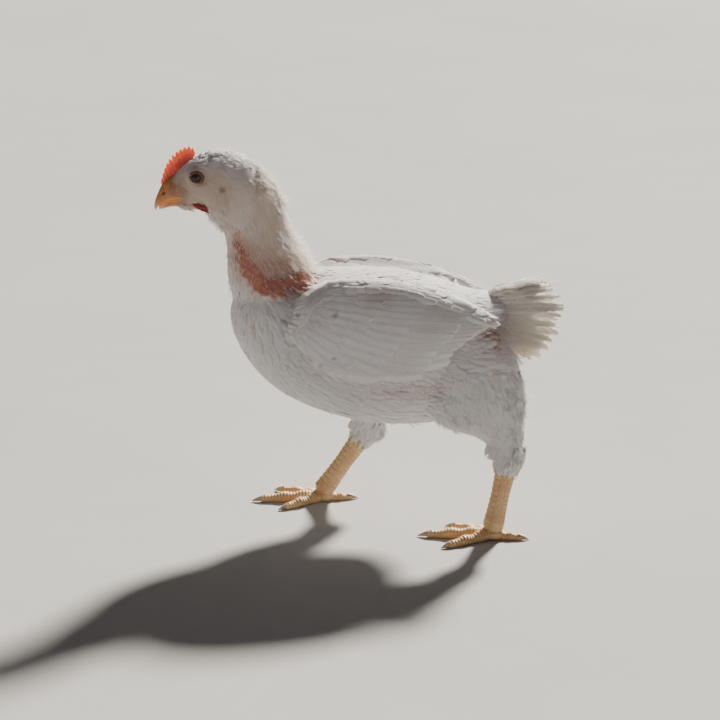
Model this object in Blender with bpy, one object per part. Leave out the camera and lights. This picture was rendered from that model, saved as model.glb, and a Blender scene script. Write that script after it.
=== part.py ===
"""A young white broiler chicken, life size, standing in mid-stride.

The bird faces -X, its left side is towards -Y and up is +Z. The floor is at Z = 0.
Every size below is a real size in millimetres times MM, so that the script works in metres.
"""

import math

import bmesh
import bpy
import numpy as np
from mathutils import Vector

MM = 0.001
GAP = 0.3 * MM
LEFT, RIGHT = -1, 1
SIDES = {"left": LEFT, "right": RIGHT}

# Where the middle of the bird's box lies, so that the origin is below it on the floor.
SHIFT_X = 0.3 * MM
SHIFT_Y = 0.0 * MM

# The trunk, from the front of the crop to the rump. Each row is one cross section:
# x, height of the centre, half width, half depth above and half depth below the centre.
TRUNK = np.array(
    [
        (-104, 174, 0, 0, 0),
        (-98, 172, 26, 23, 22),
        (-83, 167, 42, 38, 39),
        (-64, 161, 50, 47, 50),
        (-40, 156, 56, 54, 57),
        (0, 150, 59, 60, 63),
        (36, 147, 58, 61, 63),
        (66, 145, 53, 56, 58),
        (90, 149, 44, 45, 47),
        (106, 158, 33, 34, 34),
        (118, 166, 20, 24, 20),
        (126, 171, 0, 0, 0),
    ]
) * MM
TRUNK_RINGS, TRUNK_SEGMENTS, TRUNK_SQUARENESS = 20, 26, 2.3

# Neck and head along their own curve: x, z, half width, half depth to the nape, to the throat.
NECK_HEAD = np.array(
    [
        (-50, 173, 46, 40, 40),
        (-70, 207, 35.5, 31.5, 36),
        (-81, 240, 26, 27, 25.8),
        (-87, 256, 23, 29.8, 26.5),
        (-95.5, 269, 21.5, 28.9, 28.0),
        (-107, 278.5, 20.3, 26.3, 25.5),
        (-120.5, 281.7, 18.6, 22.2, 20.5),
        (-133, 279.6, 15.2, 15.2, 18.6),
        (-142, 275.8, 11.2, 9.4, 13.6),
        (-147.5, 272.6, 7.4, 6.0, 9.2),
        (-151, 270.6, 0, 0, 0),
    ]
) * MM
NECK_RINGS, NECK_SEGMENTS, NECK_SQUARENESS = 26, 22, 2.1
HEAD_CUT, HEAD_CUT_NORMAL = (-95.5 * MM, 0, 269 * MM), (-0.6, 0, 0.8)
NECK_CUT, NECK_CUT_NORMAL = (-70 * MM, 0, 207 * MM), (-0.31, 0, 0.95)
TAIL_CUT, TAIL_CUT_NORMAL = (107 * MM, 0, 178 * MM), (0.9, 0, 0.44)
# The tail is built on a blank that starts further forward and is then cut at TAIL_CUT.
TAIL_BLANK_CUT = (85 * MM, 0, 178 * MM)

# Upper and lower bill. Each row is one section: x and z of the ridge, x and z on the line of the
# mouth, half width there.
UPPER_BILL = np.array(
    [
        (-141, 288.5, -134, 268.4, 8.6),
        (-149.6, 283.2, -142.5, 267.6, 7.8),
        (-154.4, 277.4, -148.2, 266.4, 6.6),
        (-157.6, 271.0, -152.8, 264.4, 5.0),
        (-159.9, 264.8, -156.4, 261.7, 3.0),
        (-160.5, 260.6, -158.4, 259.4, 1.5),
        (-159.7, 257.3, -159.1, 257.5, 0.6),
    ]
) * MM
LOWER_BILL = np.array(
    [
        (-135, 259.5, -134, 267.4, 7.6),
        (-142, 261.0, -141.4, 266.8, 6.8),
        (-148, 260.6, -147.4, 265.6, 5.5),
        (-153, 259.2, -152.4, 262.9, 3.5),
        (-157.2, 257.7, -156.8, 259.7, 1.1),
    ]
) * MM
MOUTH_GAP = 0.5 * MM
BILL_ARC_STEPS = 8
NOSTRIL = {"x": -153.5 * MM, "y": 4.9 * MM, "z": 271.6 * MM, "length": 4.0 * MM,
           "height": 1.4 * MM, "tilt": 40}

EYE = {"x": -126.0 * MM, "y": 13.0 * MM, "z": 286.9 * MM, "radius": 5.1 * MM}
LID = {"length": 6.0 * MM, "height": 5.0 * MM, "thickness": 1.15 * MM, "tilt": 14, "out": 3.2 * MM}
EAR = {"x": -105.5 * MM, "y": 19.6 * MM, "z": 279.5 * MM, "rim": 3.4 * MM, "thickness": 0.9 * MM}
EAR_LOBE = {"drop": 6.6 * MM, "length": 3.0 * MM, "width": 1.7 * MM, "height": 4.2 * MM}

# The comb from the bill to the crown. Each row is x and z on the skull, x and z at the edge.
COMB = np.array(
    [
        (-153.9, 277.4, -155.2, 279.6),
        (-150.6, 281.4, -152.9, 287.9),
        (-147.0, 285.2, -150.3, 294.0),
        (-143.0, 288.6, -147.0, 299.4),
        (-139.0, 291.9, -142.6, 304.0),
        (-135.0, 294.9, -137.4, 307.0),
        (-131.6, 297.3, -132.2, 308.6),
        (-129.6, 299.0, -128.3, 306.0),
        (-128.8, 299.8, -127.4, 301.6),
    ]
) * MM
COMB_POINTS, COMB_POINT_DEPTH, COMB_ROOT = 10, 0.24, 5.5 * MM
COMB_BASE_THICKNESS, COMB_EDGE_THICKNESS = 3.6 * MM, 1.3 * MM

WATTLE = {"x": -121.5 * MM, "y": 7.5 * MM, "z": 260.6 * MM,
          "length": 7.8 * MM, "width": 2.2 * MM, "height": 4.6 * MM}

# Thighs with their feathering, from inside the flank down to the hock:
# x, distance from the middle, z, half depth fore and aft, half width.
THIGH = {
    "left": np.array(
        [
            (60, 22, 166, 0, 0),
            (64, 27, 160, 24, 14),
            (76, 34, 143, 42, 20),
            (90, 38, 124, 43, 21),
            (104, 42, 107, 33, 18.5),
            (113, 44.5, 91, 19.5, 14),
            (118, 45.5, 78, 12.6, 11),
            (120, 46, 70, 0, 0),
        ]
    ) * MM,
    "right": np.array(
        [
            (-24, 22, 160, 0, 0),
            (-22, 27, 153, 24, 14),
            (-16, 34, 135, 40, 20),
            (-8, 38.5, 116, 36, 20.5),
            (1, 42.5, 99, 27, 18),
            (7, 44.5, 84, 17, 13.5),
            (9, 45.5, 72, 12, 11),
            (10, 46, 64, 0, 0),
        ]
    ) * MM,
}
THIGH_RINGS, THIGH_SEGMENTS = 12, 18

# Shanks: hock and foot joint of each leg as x, distance from the middle, z.
HOCK = {"left": (119 * MM, 46 * MM, 71 * MM), "right": (9 * MM, 46 * MM, 65 * MM)}
FOOT = {"left": (107 * MM, 46 * MM, 10 * MM), "right": (-29 * MM, 46 * MM, 10 * MM)}
# Share of the way down, half depth fore and aft, half width.
SHANK = np.array(
    [
        (-0.19, 0, 0),
        (-0.15, 7.5, 6.5),
        (-0.04, 11.2, 9.2),
        (0.10, 10.2, 8.4),
        (0.24, 7.8, 6.8),
        (0.55, 6.9, 6.2),
        (0.80, 7.4, 6.8),
        (1.00, 8.4, 8.0),
        (1.08, 0, 0),
    ]
)
SHANK_SEGMENTS, SCUTES, SCUTE_STEP = 10, 9, 0.55 * MM

# Toes: heading from straight ahead in degrees (outwards is positive), length, half thickness at
# the root and at the end, length of the claw. The first one is the hind toe.
TOES = {
    "hind": (172, 21 * MM, 3.6 * MM, 2.9 * MM, 8.0 * MM),
    "inner": (-36, 37 * MM, 4.7 * MM, 3.3 * MM, 9.0 * MM),
    "middle": (-4, 50 * MM, 5.2 * MM, 3.5 * MM, 10.0 * MM),
    "outer": (30, 40 * MM, 4.7 * MM, 3.3 * MM, 8.5 * MM),
}
TOE_SEGMENTS, TOE_RINGS, TOE_SINK = 9, 8, 0.9 * MM
TOE_PADS, TOE_PAD_SWELL = 3, 0.09
CLAW_HALF_DEPTH, CLAW_HALF_WIDTH, CLAW_DROOP = 2.3 * MM, 1.8 * MM, 2.2 * MM

# The folded wing lies on a smooth form just outside the trunk. Its plan has two coordinates:
# x along the body, and s, the distance round the flank, upwards from the height WING_LEVEL.
WING_LEVEL = 152 * MM
WING_ARC = 60 * MM
WING_HALF_WIDTH, WING_WIDTH_FALL, WING_WIDEST = 63.0 * MM, 19 * MM, 15 * MM
WING_HALF_DEPTH, WING_DEPTH_FALL, WING_DEEPEST = 62 * MM, 20 * MM, -5 * MM
WING_SPAN = 100 * MM
WING_SQUARENESS = 2.3
# The arm under the feathers: x, its lower and upper edge in the plan, and its thickness.
WING_ARM = np.array(
    [
        (-53, 16, 30, 1.0),
        (-42, 5, 52, 5.0),
        (-22, -4, 66, 7.0),
        (6, -8, 70, 6.5),
        (36, -8, 69, 4.5),
        (64, 2, 64, 3.2),
        (86, 17, 55, 2.2),
        (101, 30, 46, 1.0),
    ]
) * MM
WING_ARM_ROWS, WING_ARM_COLUMNS, WING_ARM_DEPTH = 11, 7, 9 * MM

# Tiers of the wing. Roots and tips run in a row between two points of the plan, lowest first:
# count, first root, last root, first tip, last tip, half width, lift of the first, step of lift.
WING_TIERS = {
    "primaries": (5, (-10, 5), (34, 28), (70, -1), (108, 40), 7.2, 0.6, 0.35),
    "secondaries": (6, (-26, 8), (22, 48), (50, -9), (94, 49), 10.0, 2.0, 0.6),
    "greater_coverts": (6, (-34, 10), (8, 52), (14, -11), (58, 56), 10.2, 3.8, 0.5),
    "median_coverts": (5, (-40, 14), (-8, 56), (-14, -5), (22, 60), 10.2, 5.4, 0.4),
    "scapulars": (3, (-22, 52), (4, 62), (24, 55), (56, 63), 8.5, 5.4, 0.4),
}
# Near its lower edge the wing is tucked against the flank: the share of lift lost there.
WING_TUCK, WING_TUCK_FROM, WING_TUCK_TO = 0.5, 14 * MM, -12 * MM
WING_VANE_THICKNESS = 1.2 * MM

# The tail: vanes fan out on each side like a tent, the middle pair on top.
TAIL_ROOT_TOP, TAIL_ROOT_LOW = (103 * MM, 3 * MM, 186 * MM), (103 * MM, 15 * MM, 166 * MM)
# Tips of the main tail feathers of one side, from the middle pair to the outermost.
TAIL_TIPS = np.array(
    [
        (145.5, 5, 203),
        (156, 13, 197),
        (160.5, 20, 187),
        (157.5, 25.5, 175),
        (152.5, 29, 161.5),
        (145, 31, 148),
    ]
) * MM
# Seen from behind the fan is an arch: how far a vane turns from level, on top and lowest.
TAIL_TURN_TOP, TAIL_TURN_LOW = 16, 64
TAIL_HALF_WIDTH, TAIL_DROOP = 10.2 * MM, 4 * MM
TAIL_COVERTS, TAIL_COVERT_LENGTH, TAIL_LIFT, TAIL_LIFT_STEP = 3, 0.62, 1.8 * MM, 0.8 * MM
TAIL_VANE_THICKNESS = 1.3 * MM

# Along a vane: share of the length and share of the half width.
VANE_OUTLINE = ((0.0, 0.55), (0.42, 1.0), (0.82, 0.88), (1.0, 0.26))

COLOURS = {
    "feathers": ((0.86, 0.83, 0.78), 0.8),
    "wing_feathers": ((0.88, 0.86, 0.82), 0.7),
    "bare_skin": ((0.74, 0.16, 0.11), 0.55),
    "bill_horn": ((0.84, 0.52, 0.24), 0.4),
    "eye_glass": ((0.10, 0.045, 0.02), 0.08),
    "leg_scales": ((0.86, 0.66, 0.36), 0.5),
    "claw_horn": ((0.72, 0.62, 0.48), 0.4),
}


def material(slot):
    """The material of a slot, made on first use."""
    found = bpy.data.materials.get(slot)
    if found:
        return found
    colour, roughness = COLOURS[slot]
    made = bpy.data.materials.new(slot)
    made.use_nodes = True
    shader = made.node_tree.nodes["Principled BSDF"]
    shader.inputs["Base Color"].default_value = (*colour, 1)
    shader.inputs["Roughness"].default_value = roughness
    shader.inputs["Metallic"].default_value = 0
    return made


def smooth_rows(rows, count, places=2):
    """A smooth curve through the rows of a table, as count rows.

    The first columns are places and the others radii. Where the radii are zero at an end, the row
    beyond it is its neighbour turned inside out, which makes that end round. There the radii stay
    a little above zero, so that a ring keeps its points apart.
    """
    rows = np.asarray(rows, float)
    first, last = rows[1].copy(), rows[-2].copy()
    for ghost, end in ((first, rows[0]), (last, rows[-1])):
        if len(end) > places and np.allclose(end[places:], 0):
            ghost[places:] *= -1
        else:
            ghost[:] = 2 * end - ghost
    padded = np.vstack([first, rows, last])
    steps = np.linalg.norm(np.diff(padded, axis=0), axis=1)
    knots = np.concatenate([[0], np.cumsum(np.sqrt(steps))])
    slopes = np.gradient(padded, knots, axis=0)
    at = np.linspace(knots[1], knots[-2], count)
    index = np.clip(np.searchsorted(knots, at, side="right") - 1, 1, len(rows) - 1)
    span = (knots[index + 1] - knots[index])[:, None]
    t = (at - knots[index])[:, None] / span
    start, end = padded[index], padded[index + 1]
    curve = (
        (2 * t**3 - 3 * t**2 + 1) * start
        + (t**3 - 2 * t**2 + t) * span * slopes[index]
        + (3 * t**2 - 2 * t**3) * end
        + (t**3 - t**2) * span * slopes[index + 1]
    )
    for end, neighbour in ((0, 1), (-1, -2)):
        curve[end, places:] = np.maximum(curve[end, places:], 0.12 * curve[neighbour, places:])
    return curve


def section(centre, across, above, half_width, half_above, half_below, squareness, segments):
    """The points of one superelliptic cross section."""
    points = []
    for i in range(segments):
        angle = 2 * math.pi * i / segments
        c, s = math.cos(angle), math.sin(angle)
        wide = half_width * math.copysign(abs(c) ** (2 / squareness), c)
        deep = (half_above if s > 0 else half_below) * math.copysign(abs(s) ** (2 / squareness), s)
        points.append(np.asarray(centre) + np.asarray(across) * wide + np.asarray(above) * deep)
    return np.array(points)


def new_mesh_object(name, points, faces):
    """An object of these points and faces, with its faces pointing out."""
    mesh = bpy.data.meshes.new(name)
    mesh.from_pydata([tuple(p) for p in points], [], faces)
    obj = bpy.data.objects.new(name, mesh)
    bpy.context.scene.collection.objects.link(obj)
    shape = bmesh.new()
    shape.from_mesh(mesh)
    bmesh.ops.remove_doubles(shape, verts=shape.verts, dist=1e-6)
    bmesh.ops.recalc_face_normals(shape, faces=shape.faces)
    shape.to_mesh(mesh)
    shape.free()
    return obj


def loft(name, rings):
    """A closed tube through rings with the same number of points each."""
    count = len(rings[0])
    points = [p for ring in rings for p in ring]
    faces = []
    for r in range(len(rings) - 1):
        for i in range(count):
            j = (i + 1) % count
            faces.append((r * count + i, r * count + j, (r + 1) * count + j, (r + 1) * count + i))
    for r in (0, len(rings) - 1):
        middle = len(points)
        points.append(np.mean(rings[r], axis=0))
        faces += [(r * count + i, r * count + (i + 1) % count, middle) for i in range(count)]
    return new_mesh_object(name, points, faces)


def trunk(grow=0.0):
    """The trunk as one closed form, larger all round by grow."""
    rows = smooth_rows(TRUNK, TRUNK_RINGS)
    rings = [
        section((x, 0, z), (0, 1, 0), (0, 0, 1), w + grow, up + grow, down + grow,
                TRUNK_SQUARENESS, TRUNK_SEGMENTS)
        for x, z, w, up, down in rows
    ]
    rings[0][:, 0] -= grow
    rings[-1][:, 0] += grow
    return loft("trunk", rings)


def neck_head(grow=0.0):
    """Neck and head as one closed form, larger all round by grow."""
    rows = smooth_rows(NECK_HEAD, NECK_RINGS)
    centres = rows[:, :2]
    along = np.gradient(centres, axis=0)
    along /= np.linalg.norm(along, axis=1)[:, None]
    rings = []
    for (x, z, w, nape, throat), (dx, dz) in zip(rows, along):
        rings.append(section((x, 0, z), (0, 1, 0), (dz, 0, -dx), w + grow, nape + grow,
                             throat + grow, NECK_SQUARENESS, NECK_SEGMENTS))
    rings[-1] += np.array([along[-1][0], 0, along[-1][1]]) * grow
    return loft("neck_head", rings)


def thigh(side, grow=0.0):
    """One feathered thigh as a closed form, larger all round by grow."""
    sign = SIDES[side]
    rows = smooth_rows(THIGH[side], THIGH_RINGS, places=3)
    along = np.gradient(rows[:, [0, 2]], axis=0)
    along /= np.linalg.norm(along, axis=1)[:, None]
    rings = []
    for (x, y, z, deep, wide), (dx, dz) in zip(rows, along):
        fore_aft = np.array((-dz, 0, dx))
        rings.append(section((x, sign * y, z), fore_aft, (0, 1, 0), deep + grow, wide + grow,
                             wide + grow, 2.1, THIGH_SEGMENTS))
    rings[0] -= np.array([along[0][0], 0, along[0][1]]) * grow
    rings[-1] += np.array([along[-1][0], 0, along[-1][1]]) * grow
    return loft("thigh", rings)


def evaluated_mesh(obj):
    """The object's mesh with its modifiers applied."""
    graph = bpy.context.evaluated_depsgraph_get()
    return bpy.data.meshes.new_from_object(obj.evaluated_get(graph))


def discard(obj):
    """Takes an object out of the file."""
    bpy.data.objects.remove(obj)


def apply_modifiers(obj):
    """Makes the evaluated mesh the object's own."""
    mesh = evaluated_mesh(obj)
    obj.modifiers.clear()
    obj.data = mesh


def fuse(base, others, solver="EXACT"):
    """Joins the others to the base with one Boolean union, and removes them."""
    group = bpy.data.collections.new("pieces")
    bpy.context.scene.collection.children.link(group)
    for obj in others:
        bpy.context.scene.collection.objects.unlink(obj)
        group.objects.link(obj)
    union = base.modifiers.new("union", "BOOLEAN")
    union.operation = "UNION"
    union.operand_type = "COLLECTION"
    union.collection = group
    union.solver = solver
    if solver == "EXACT":
        union.use_self = False
    apply_modifiers(base)
    for obj in list(group.objects):
        discard(obj)
    bpy.data.collections.remove(group)
    return base


def carve(target, cutter, keep_cutter=False):
    """Cuts the cutter out of the target."""
    cut = target.modifiers.new("cut", "BOOLEAN")
    cut.operation = "DIFFERENCE"
    cut.object = cutter
    cut.solver = "EXACT"
    apply_modifiers(target)
    if not keep_cutter:
        discard(cutter)
    return target


def half(obj, point, normal, name):
    """The part of an object on the side that normal points to, half a gap off the plane."""
    normal = Vector(normal).normalized()
    shape = bmesh.new()
    shape.from_mesh(obj.data)
    cut = bmesh.ops.bisect_plane(
        shape,
        geom=shape.verts[:] + shape.edges[:] + shape.faces[:],
        dist=1e-7,
        plane_co=Vector(point) + normal * GAP / 2,
        plane_no=normal,
        clear_inner=True,
    )
    rim = [e for e in cut["geom_cut"] if isinstance(e, bmesh.types.BMEdge)]
    bmesh.ops.triangle_fill(shape, edges=rim, use_beauty=True)
    bmesh.ops.recalc_face_normals(shape, faces=shape.faces)
    mesh = bpy.data.meshes.new(name)
    shape.to_mesh(mesh)
    shape.free()
    made = bpy.data.objects.new(name, mesh)
    bpy.context.scene.collection.objects.link(made)
    return made


def keep_largest(obj):
    """Leaves only the largest closed surface of the object's mesh."""
    shape = bmesh.new()
    shape.from_mesh(obj.data)
    left = set(shape.faces)
    islands = []
    while left:
        island, front = set(), [left.pop()]
        while front:
            face = front.pop()
            island.add(face)
            for edge in face.edges:
                for other in edge.link_faces:
                    if other in left:
                        left.discard(other)
                        front.append(other)
        islands.append(island)
    islands.sort(key=lambda island: sum(f.calc_area() for f in island), reverse=True)
    for island in islands[1:]:
        bmesh.ops.delete(shape, geom=list(island), context="FACES")
    shape.to_mesh(obj.data)
    shape.free()
    return obj


def finish(obj, name, slot):
    """Names an object, gives it its material and puts it in the bird's collection."""
    keep_largest(obj)
    obj.name = name
    obj.data.name = name
    obj.data.materials.clear()
    obj.data.materials.append(material(slot))
    obj.data.shade_smooth()
    obj.data.set_sharp_from_angle(angle=math.radians(40))
    obj.location = (-SHIFT_X, -SHIFT_Y, 0)
    bird = bpy.data.collections["Broiler_chicken"]
    for home in list(obj.users_collection):
        home.objects.unlink(obj)
    bird.objects.link(obj)
    return obj


def ball(centre, radii, segments=16, rings=10):
    """A UV sphere with three radii."""
    shape = bmesh.new()
    bmesh.ops.create_uvsphere(shape, u_segments=segments, v_segments=rings, radius=1)
    for vert in shape.verts:
        vert.co = Vector(centre) + Vector(c * r for c, r in zip(vert.co, radii))
    mesh = bpy.data.meshes.new("ball")
    shape.to_mesh(mesh)
    shape.free()
    obj = bpy.data.objects.new("ball", mesh)
    bpy.context.scene.collection.objects.link(obj)
    return obj


def rim(centre, half_length, half_height, thickness, tilt, lean, segments=16, sides=6):
    """A ring of round section standing in the XZ plane, for an eyelid or the edge of an ear."""
    turn = math.radians(tilt)
    rings = []
    for i in range(segments):
        angle = 2 * math.pi * i / segments
        u, v = half_length * math.cos(angle), half_height * math.sin(angle)
        out = np.array([math.cos(angle), 0, math.sin(angle)])
        middle = np.array([u, lean * abs(u) / half_length, v])
        ring = []
        for k in range(sides):
            roll = 2 * math.pi * k / sides
            p = middle + thickness * (math.cos(roll) * out + math.sin(roll) * np.array([0, 1, 0]))
            x = p[0] * math.cos(turn) + p[2] * math.sin(turn)
            z = -p[0] * math.sin(turn) + p[2] * math.cos(turn)
            ring.append(np.array(centre) + np.array([x, p[1], z]))
        rings.append(ring)
    points = [p for ring in rings for p in ring]
    faces = []
    for r in range(segments):
        for k in range(sides):
            r2, k2 = (r + 1) % segments, (k + 1) % sides
            faces.append((r * sides + k, r2 * sides + k, r2 * sides + k2, r * sides + k2))
    return new_mesh_object("rim", points, faces)


def make_head(whole):
    """The head with lids, eye sockets and ears."""
    head = half(whole, HEAD_CUT, HEAD_CUT_NORMAL, "head")
    extras = []
    for sign in SIDES.values():
        lid_centre = (EYE["x"], sign * (EYE["y"] + LID["out"]), EYE["z"])
        extras.append(rim(lid_centre, LID["length"], LID["height"], LID["thickness"],
                          LID["tilt"], -sign * 1.2 * MM))
        ear_centre = (EAR["x"], sign * EAR["y"], EAR["z"])
        extras.append(rim(ear_centre, EAR["rim"], EAR["rim"] * 1.15, EAR["thickness"], 0, 0,
                          12, 5))
        extras.append(ball((EAR["x"], sign * (EAR["y"] - 0.6 * MM), EAR["z"] - EAR_LOBE["drop"]),
                           (EAR_LOBE["length"], EAR_LOBE["width"], EAR_LOBE["height"]), 10, 7))
    fuse(head, extras)
    for sign in SIDES.values():
        carve(head, ball((EYE["x"], sign * EYE["y"], EYE["z"]), (EYE["radius"] + GAP,) * 3, 16, 10))
        cup = EAR["rim"] - EAR["thickness"] * 0.7
        carve(head, ball((EAR["x"], sign * (EAR["y"] + 0.6 * MM), EAR["z"]),
                         (cup, 2.4 * MM, cup * 1.15), 10, 6))
    return head


def make_eyes():
    """Both eyeballs, each clear of its socket."""
    for side, sign in SIDES.items():
        eye = ball((EYE["x"], sign * EYE["y"], EYE["z"]), (EYE["radius"],) * 3, 16, 10)
        finish(eye, f"eye_{side}", "eye_glass")


def bill_rings(table, sinks, grow=0.0):
    """Sections of one half of the bill: an arc from edge to edge over the ridge."""
    rings = []
    for ridge_x, ridge_z, edge_x, edge_z, half_width in table:
        ridge, edge = np.array([ridge_x, 0, ridge_z]), np.array([edge_x, 0, edge_z])
        outwards = (ridge - edge) / np.linalg.norm(ridge - edge)
        ridge, edge = ridge + outwards * grow, edge - outwards * grow
        half_width += grow
        depth = ridge - edge
        ring = []
        for i in range(BILL_ARC_STEPS + 1):
            angle = math.pi * i / BILL_ARC_STEPS
            ring.append(edge + depth * math.sin(angle) ** 0.9
                        + np.array([0, half_width * math.cos(angle), 0]))
        ring.append(edge + depth * sinks + np.array([0, -0.45 * half_width, 0]))
        ring.append(edge + depth * sinks + np.array([0, 0.45 * half_width, 0]))
        rings.append(np.array(ring))
    return rings


def make_bill():
    """Upper and lower bill, cut to meet the face, with the nostrils and the line of the mouth."""
    face = neck_head(GAP)
    upper = loft("bill_upper", bill_rings(UPPER_BILL, 0.12))
    carve(upper, face, keep_cutter=True)
    turn = math.radians(NOSTRIL["tilt"])
    for sign in SIDES.values():
        slit = ball((0, 0, 0), (NOSTRIL["length"] / 2, 1.6 * MM, NOSTRIL["height"] / 2), 10, 6)
        for vert in slit.data.vertices:
            x, y, z = vert.co
            vert.co = (
                NOSTRIL["x"] + x * math.cos(turn) - z * math.sin(turn),
                sign * NOSTRIL["y"] + y,
                NOSTRIL["z"] + x * math.sin(turn) + z * math.cos(turn),
            )
        carve(upper, slit)
    finish(upper, "bill_upper", "bill_horn")
    lower = loft("bill_lower", bill_rings(LOWER_BILL, 0.1))
    for vert in lower.data.vertices:
        vert.co.z -= MOUTH_GAP
    carve(lower, face, keep_cutter=True)
    discard(face)
    finish(lower, "bill_lower", "bill_horn")


def make_comb():
    """The single comb, a thin plate with a saw-like edge, rooted in the crown and forehead."""
    columns = 4 * COMB_POINTS + 1
    along = smooth_rows(COMB, columns, places=4)
    levels = (0, 0.62, 1)
    thicknesses = np.interp(levels, (0, 1), (COMB_BASE_THICKNESS, COMB_EDGE_THICKNESS)) / 2
    rings = []
    for i, (base_x, base_z, edge_x, edge_z) in enumerate(along):
        base, edge = np.array([base_x, 0, base_z]), np.array([edge_x, 0, edge_z])
        height = np.linalg.norm(edge - base)
        outwards = (edge - base) / height
        between = 0.5 + 0.5 * math.cos(math.pi * i / 2)
        height *= 1 - COMB_POINT_DEPTH * between
        root = base - outwards * COMB_ROOT
        ring = [root + outwards * (height + COMB_ROOT) * levels[k] + np.array([0, side, 0])
                * thicknesses[k] for side in (1, -1) for k in (range(3) if side > 0 else (2, 1, 0))]
        rings.append(np.array(ring))
    comb = loft("comb", rings)
    carve(comb, neck_head(GAP))
    carve(comb, loft("bill", bill_rings(UPPER_BILL, 0.12, GAP)))
    return comb


def make_wattles(head):
    """Two small wattles below the jaw, cut clear of the head."""
    for side, sign in SIDES.items():
        wattle = ball((WATTLE["x"], sign * WATTLE["y"], WATTLE["z"]),
                      (WATTLE["length"], WATTLE["width"], WATTLE["height"]), 12, 8)
        for vert in wattle.data.vertices:
            below = max(0.0, (WATTLE["z"] - vert.co.z) / WATTLE["height"])
            vert.co.y += sign * below * 1.5 * MM
        carve(wattle, neck_head(GAP))
        finish(wattle, f"wattle_{side}", "bare_skin")


def shank_rings(side, grow=0.0):
    """Sections of a shank from the hock to the foot joint, stepped in front by its scutes."""
    sign = SIDES[side]
    top = np.array(HOCK[side]) * (1, sign, 1)
    foot = np.array(FOOT[side]) * (1, sign, 1)
    down = foot - top
    length = np.linalg.norm(down)
    down /= length
    fore = np.cross(down, (0, 1, 0))
    fore *= -1 if fore[0] > 0 else 1
    fore /= np.linalg.norm(fore)
    scale_top, scale_low = 0.16, 0.92
    shares = [-0.19, -0.16, -0.1, -0.02, 0.07]
    pitch = (scale_low - scale_top) / SCUTES
    steps = []
    for i in range(SCUTES):
        steps += [(scale_top + pitch * i, 0.0), (scale_top + pitch * (i + 0.86), 1.0)]
    rows = [(s, 0.0) for s in shares] + steps + [(0.97, 0.0), (1.03, 0.0), (1.08, 0.0)]
    rings = []
    for share, step in rows:
        deep = np.interp(share, SHANK[:, 0], SHANK[:, 1]) * MM
        wide = np.interp(share, SHANK[:, 0], SHANK[:, 2]) * MM
        deep, wide = max(deep, 1.2 * MM), max(wide, 1.0 * MM)
        centre = top + down * share * length
        ring = []
        for k in range(SHANK_SEGMENTS):
            angle = 2 * math.pi * k / SHANK_SEGMENTS
            front = max(0.0, math.cos(angle))
            swell = grow + step * SCUTE_STEP * front
            ring.append(centre + fore * (deep + swell) * math.cos(angle)
                        + np.array([0, 1, 0]) * (wide + swell) * math.sin(angle))
        rings.append(np.array(ring))
    rings[0] -= down * grow
    rings[-1] += down * grow
    return rings


def toe_path(side, toe, points):
    """Centres, headings and radii along a toe, from inside the foot joint to its end."""
    heading, length, root_radius, end_radius, _ = TOES[toe]
    sign = SIDES[side]
    foot = np.array(FOOT[side]) * (1, sign, 1)
    angle = math.radians(heading)
    ahead = np.array([-math.cos(angle), sign * math.sin(angle), 0])
    rows = []
    for i in range(points):
        u = i / (points - 1)
        radius = root_radius + (end_radius - root_radius) * u
        radius *= 1 + TOE_PAD_SWELL * math.cos(2 * math.pi * TOE_PADS * u)
        rise = (foot[2] - root_radius) * max(0.0, 1 - u / 0.28) ** 2 * 0.5
        centre = np.array([foot[0], foot[1], 0]) + ahead * length * u
        centre[2] = radius - TOE_SINK + rise
        rows.append((centre, ahead, radius))
    return rows


def toe_form(side, toe, grow=0.0):
    """A toe as a closed form, larger all round by grow."""
    rings = []
    rows = toe_path(side, toe, TOE_RINGS)
    shares = np.ones(len(rows))
    shares[-1] = 0.62
    for (centre, ahead, radius), share in zip(rows, shares):
        across = np.cross((0, 0, 1), ahead)
        rings.append(section(centre, across, (0, 0, 1), radius * share + grow,
                             radius * share + grow, radius * share + grow, 2.2, TOE_SEGMENTS))
    end = rows[-1]
    tip = end[0] + end[1] * end[2] * 0.8
    rings.append(section(tip + end[1] * grow, np.cross((0, 0, 1), end[1]), (0, 0, 1),
                         *(end[2] * 0.2 + grow,) * 3, 2.2, TOE_SEGMENTS))
    return loft("toe", rings)


def make_claw(side, toe):
    """A claw, curved down, that meets the end of its toe."""
    end, ahead, radius = toe_path(side, toe, TOE_RINGS)[-1]
    length = TOES[toe][4]
    rings = []
    for u in (0.0, 0.4, 0.75, 1.0):
        centre = end + ahead * (radius * 0.1 + length * u) + np.array([0, 0, 0.6 * MM])
        centre[2] -= CLAW_DROOP * u**2 - 0.35 * MM
        share = (1 - u) ** 0.7 + 0.1
        low = min(CLAW_HALF_DEPTH * share, centre[2] - 0.4 * MM)
        rings.append(section(centre, np.cross((0, 0, 1), ahead), (0, 0, 1),
                             CLAW_HALF_WIDTH * share, CLAW_HALF_DEPTH * share, low, 2.0, 6))
    claw = loft("claw", rings)
    carve(claw, toe_form(side, toe, GAP))
    finish(claw, f"claw_{side}_{toe}", "claw_horn")


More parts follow.
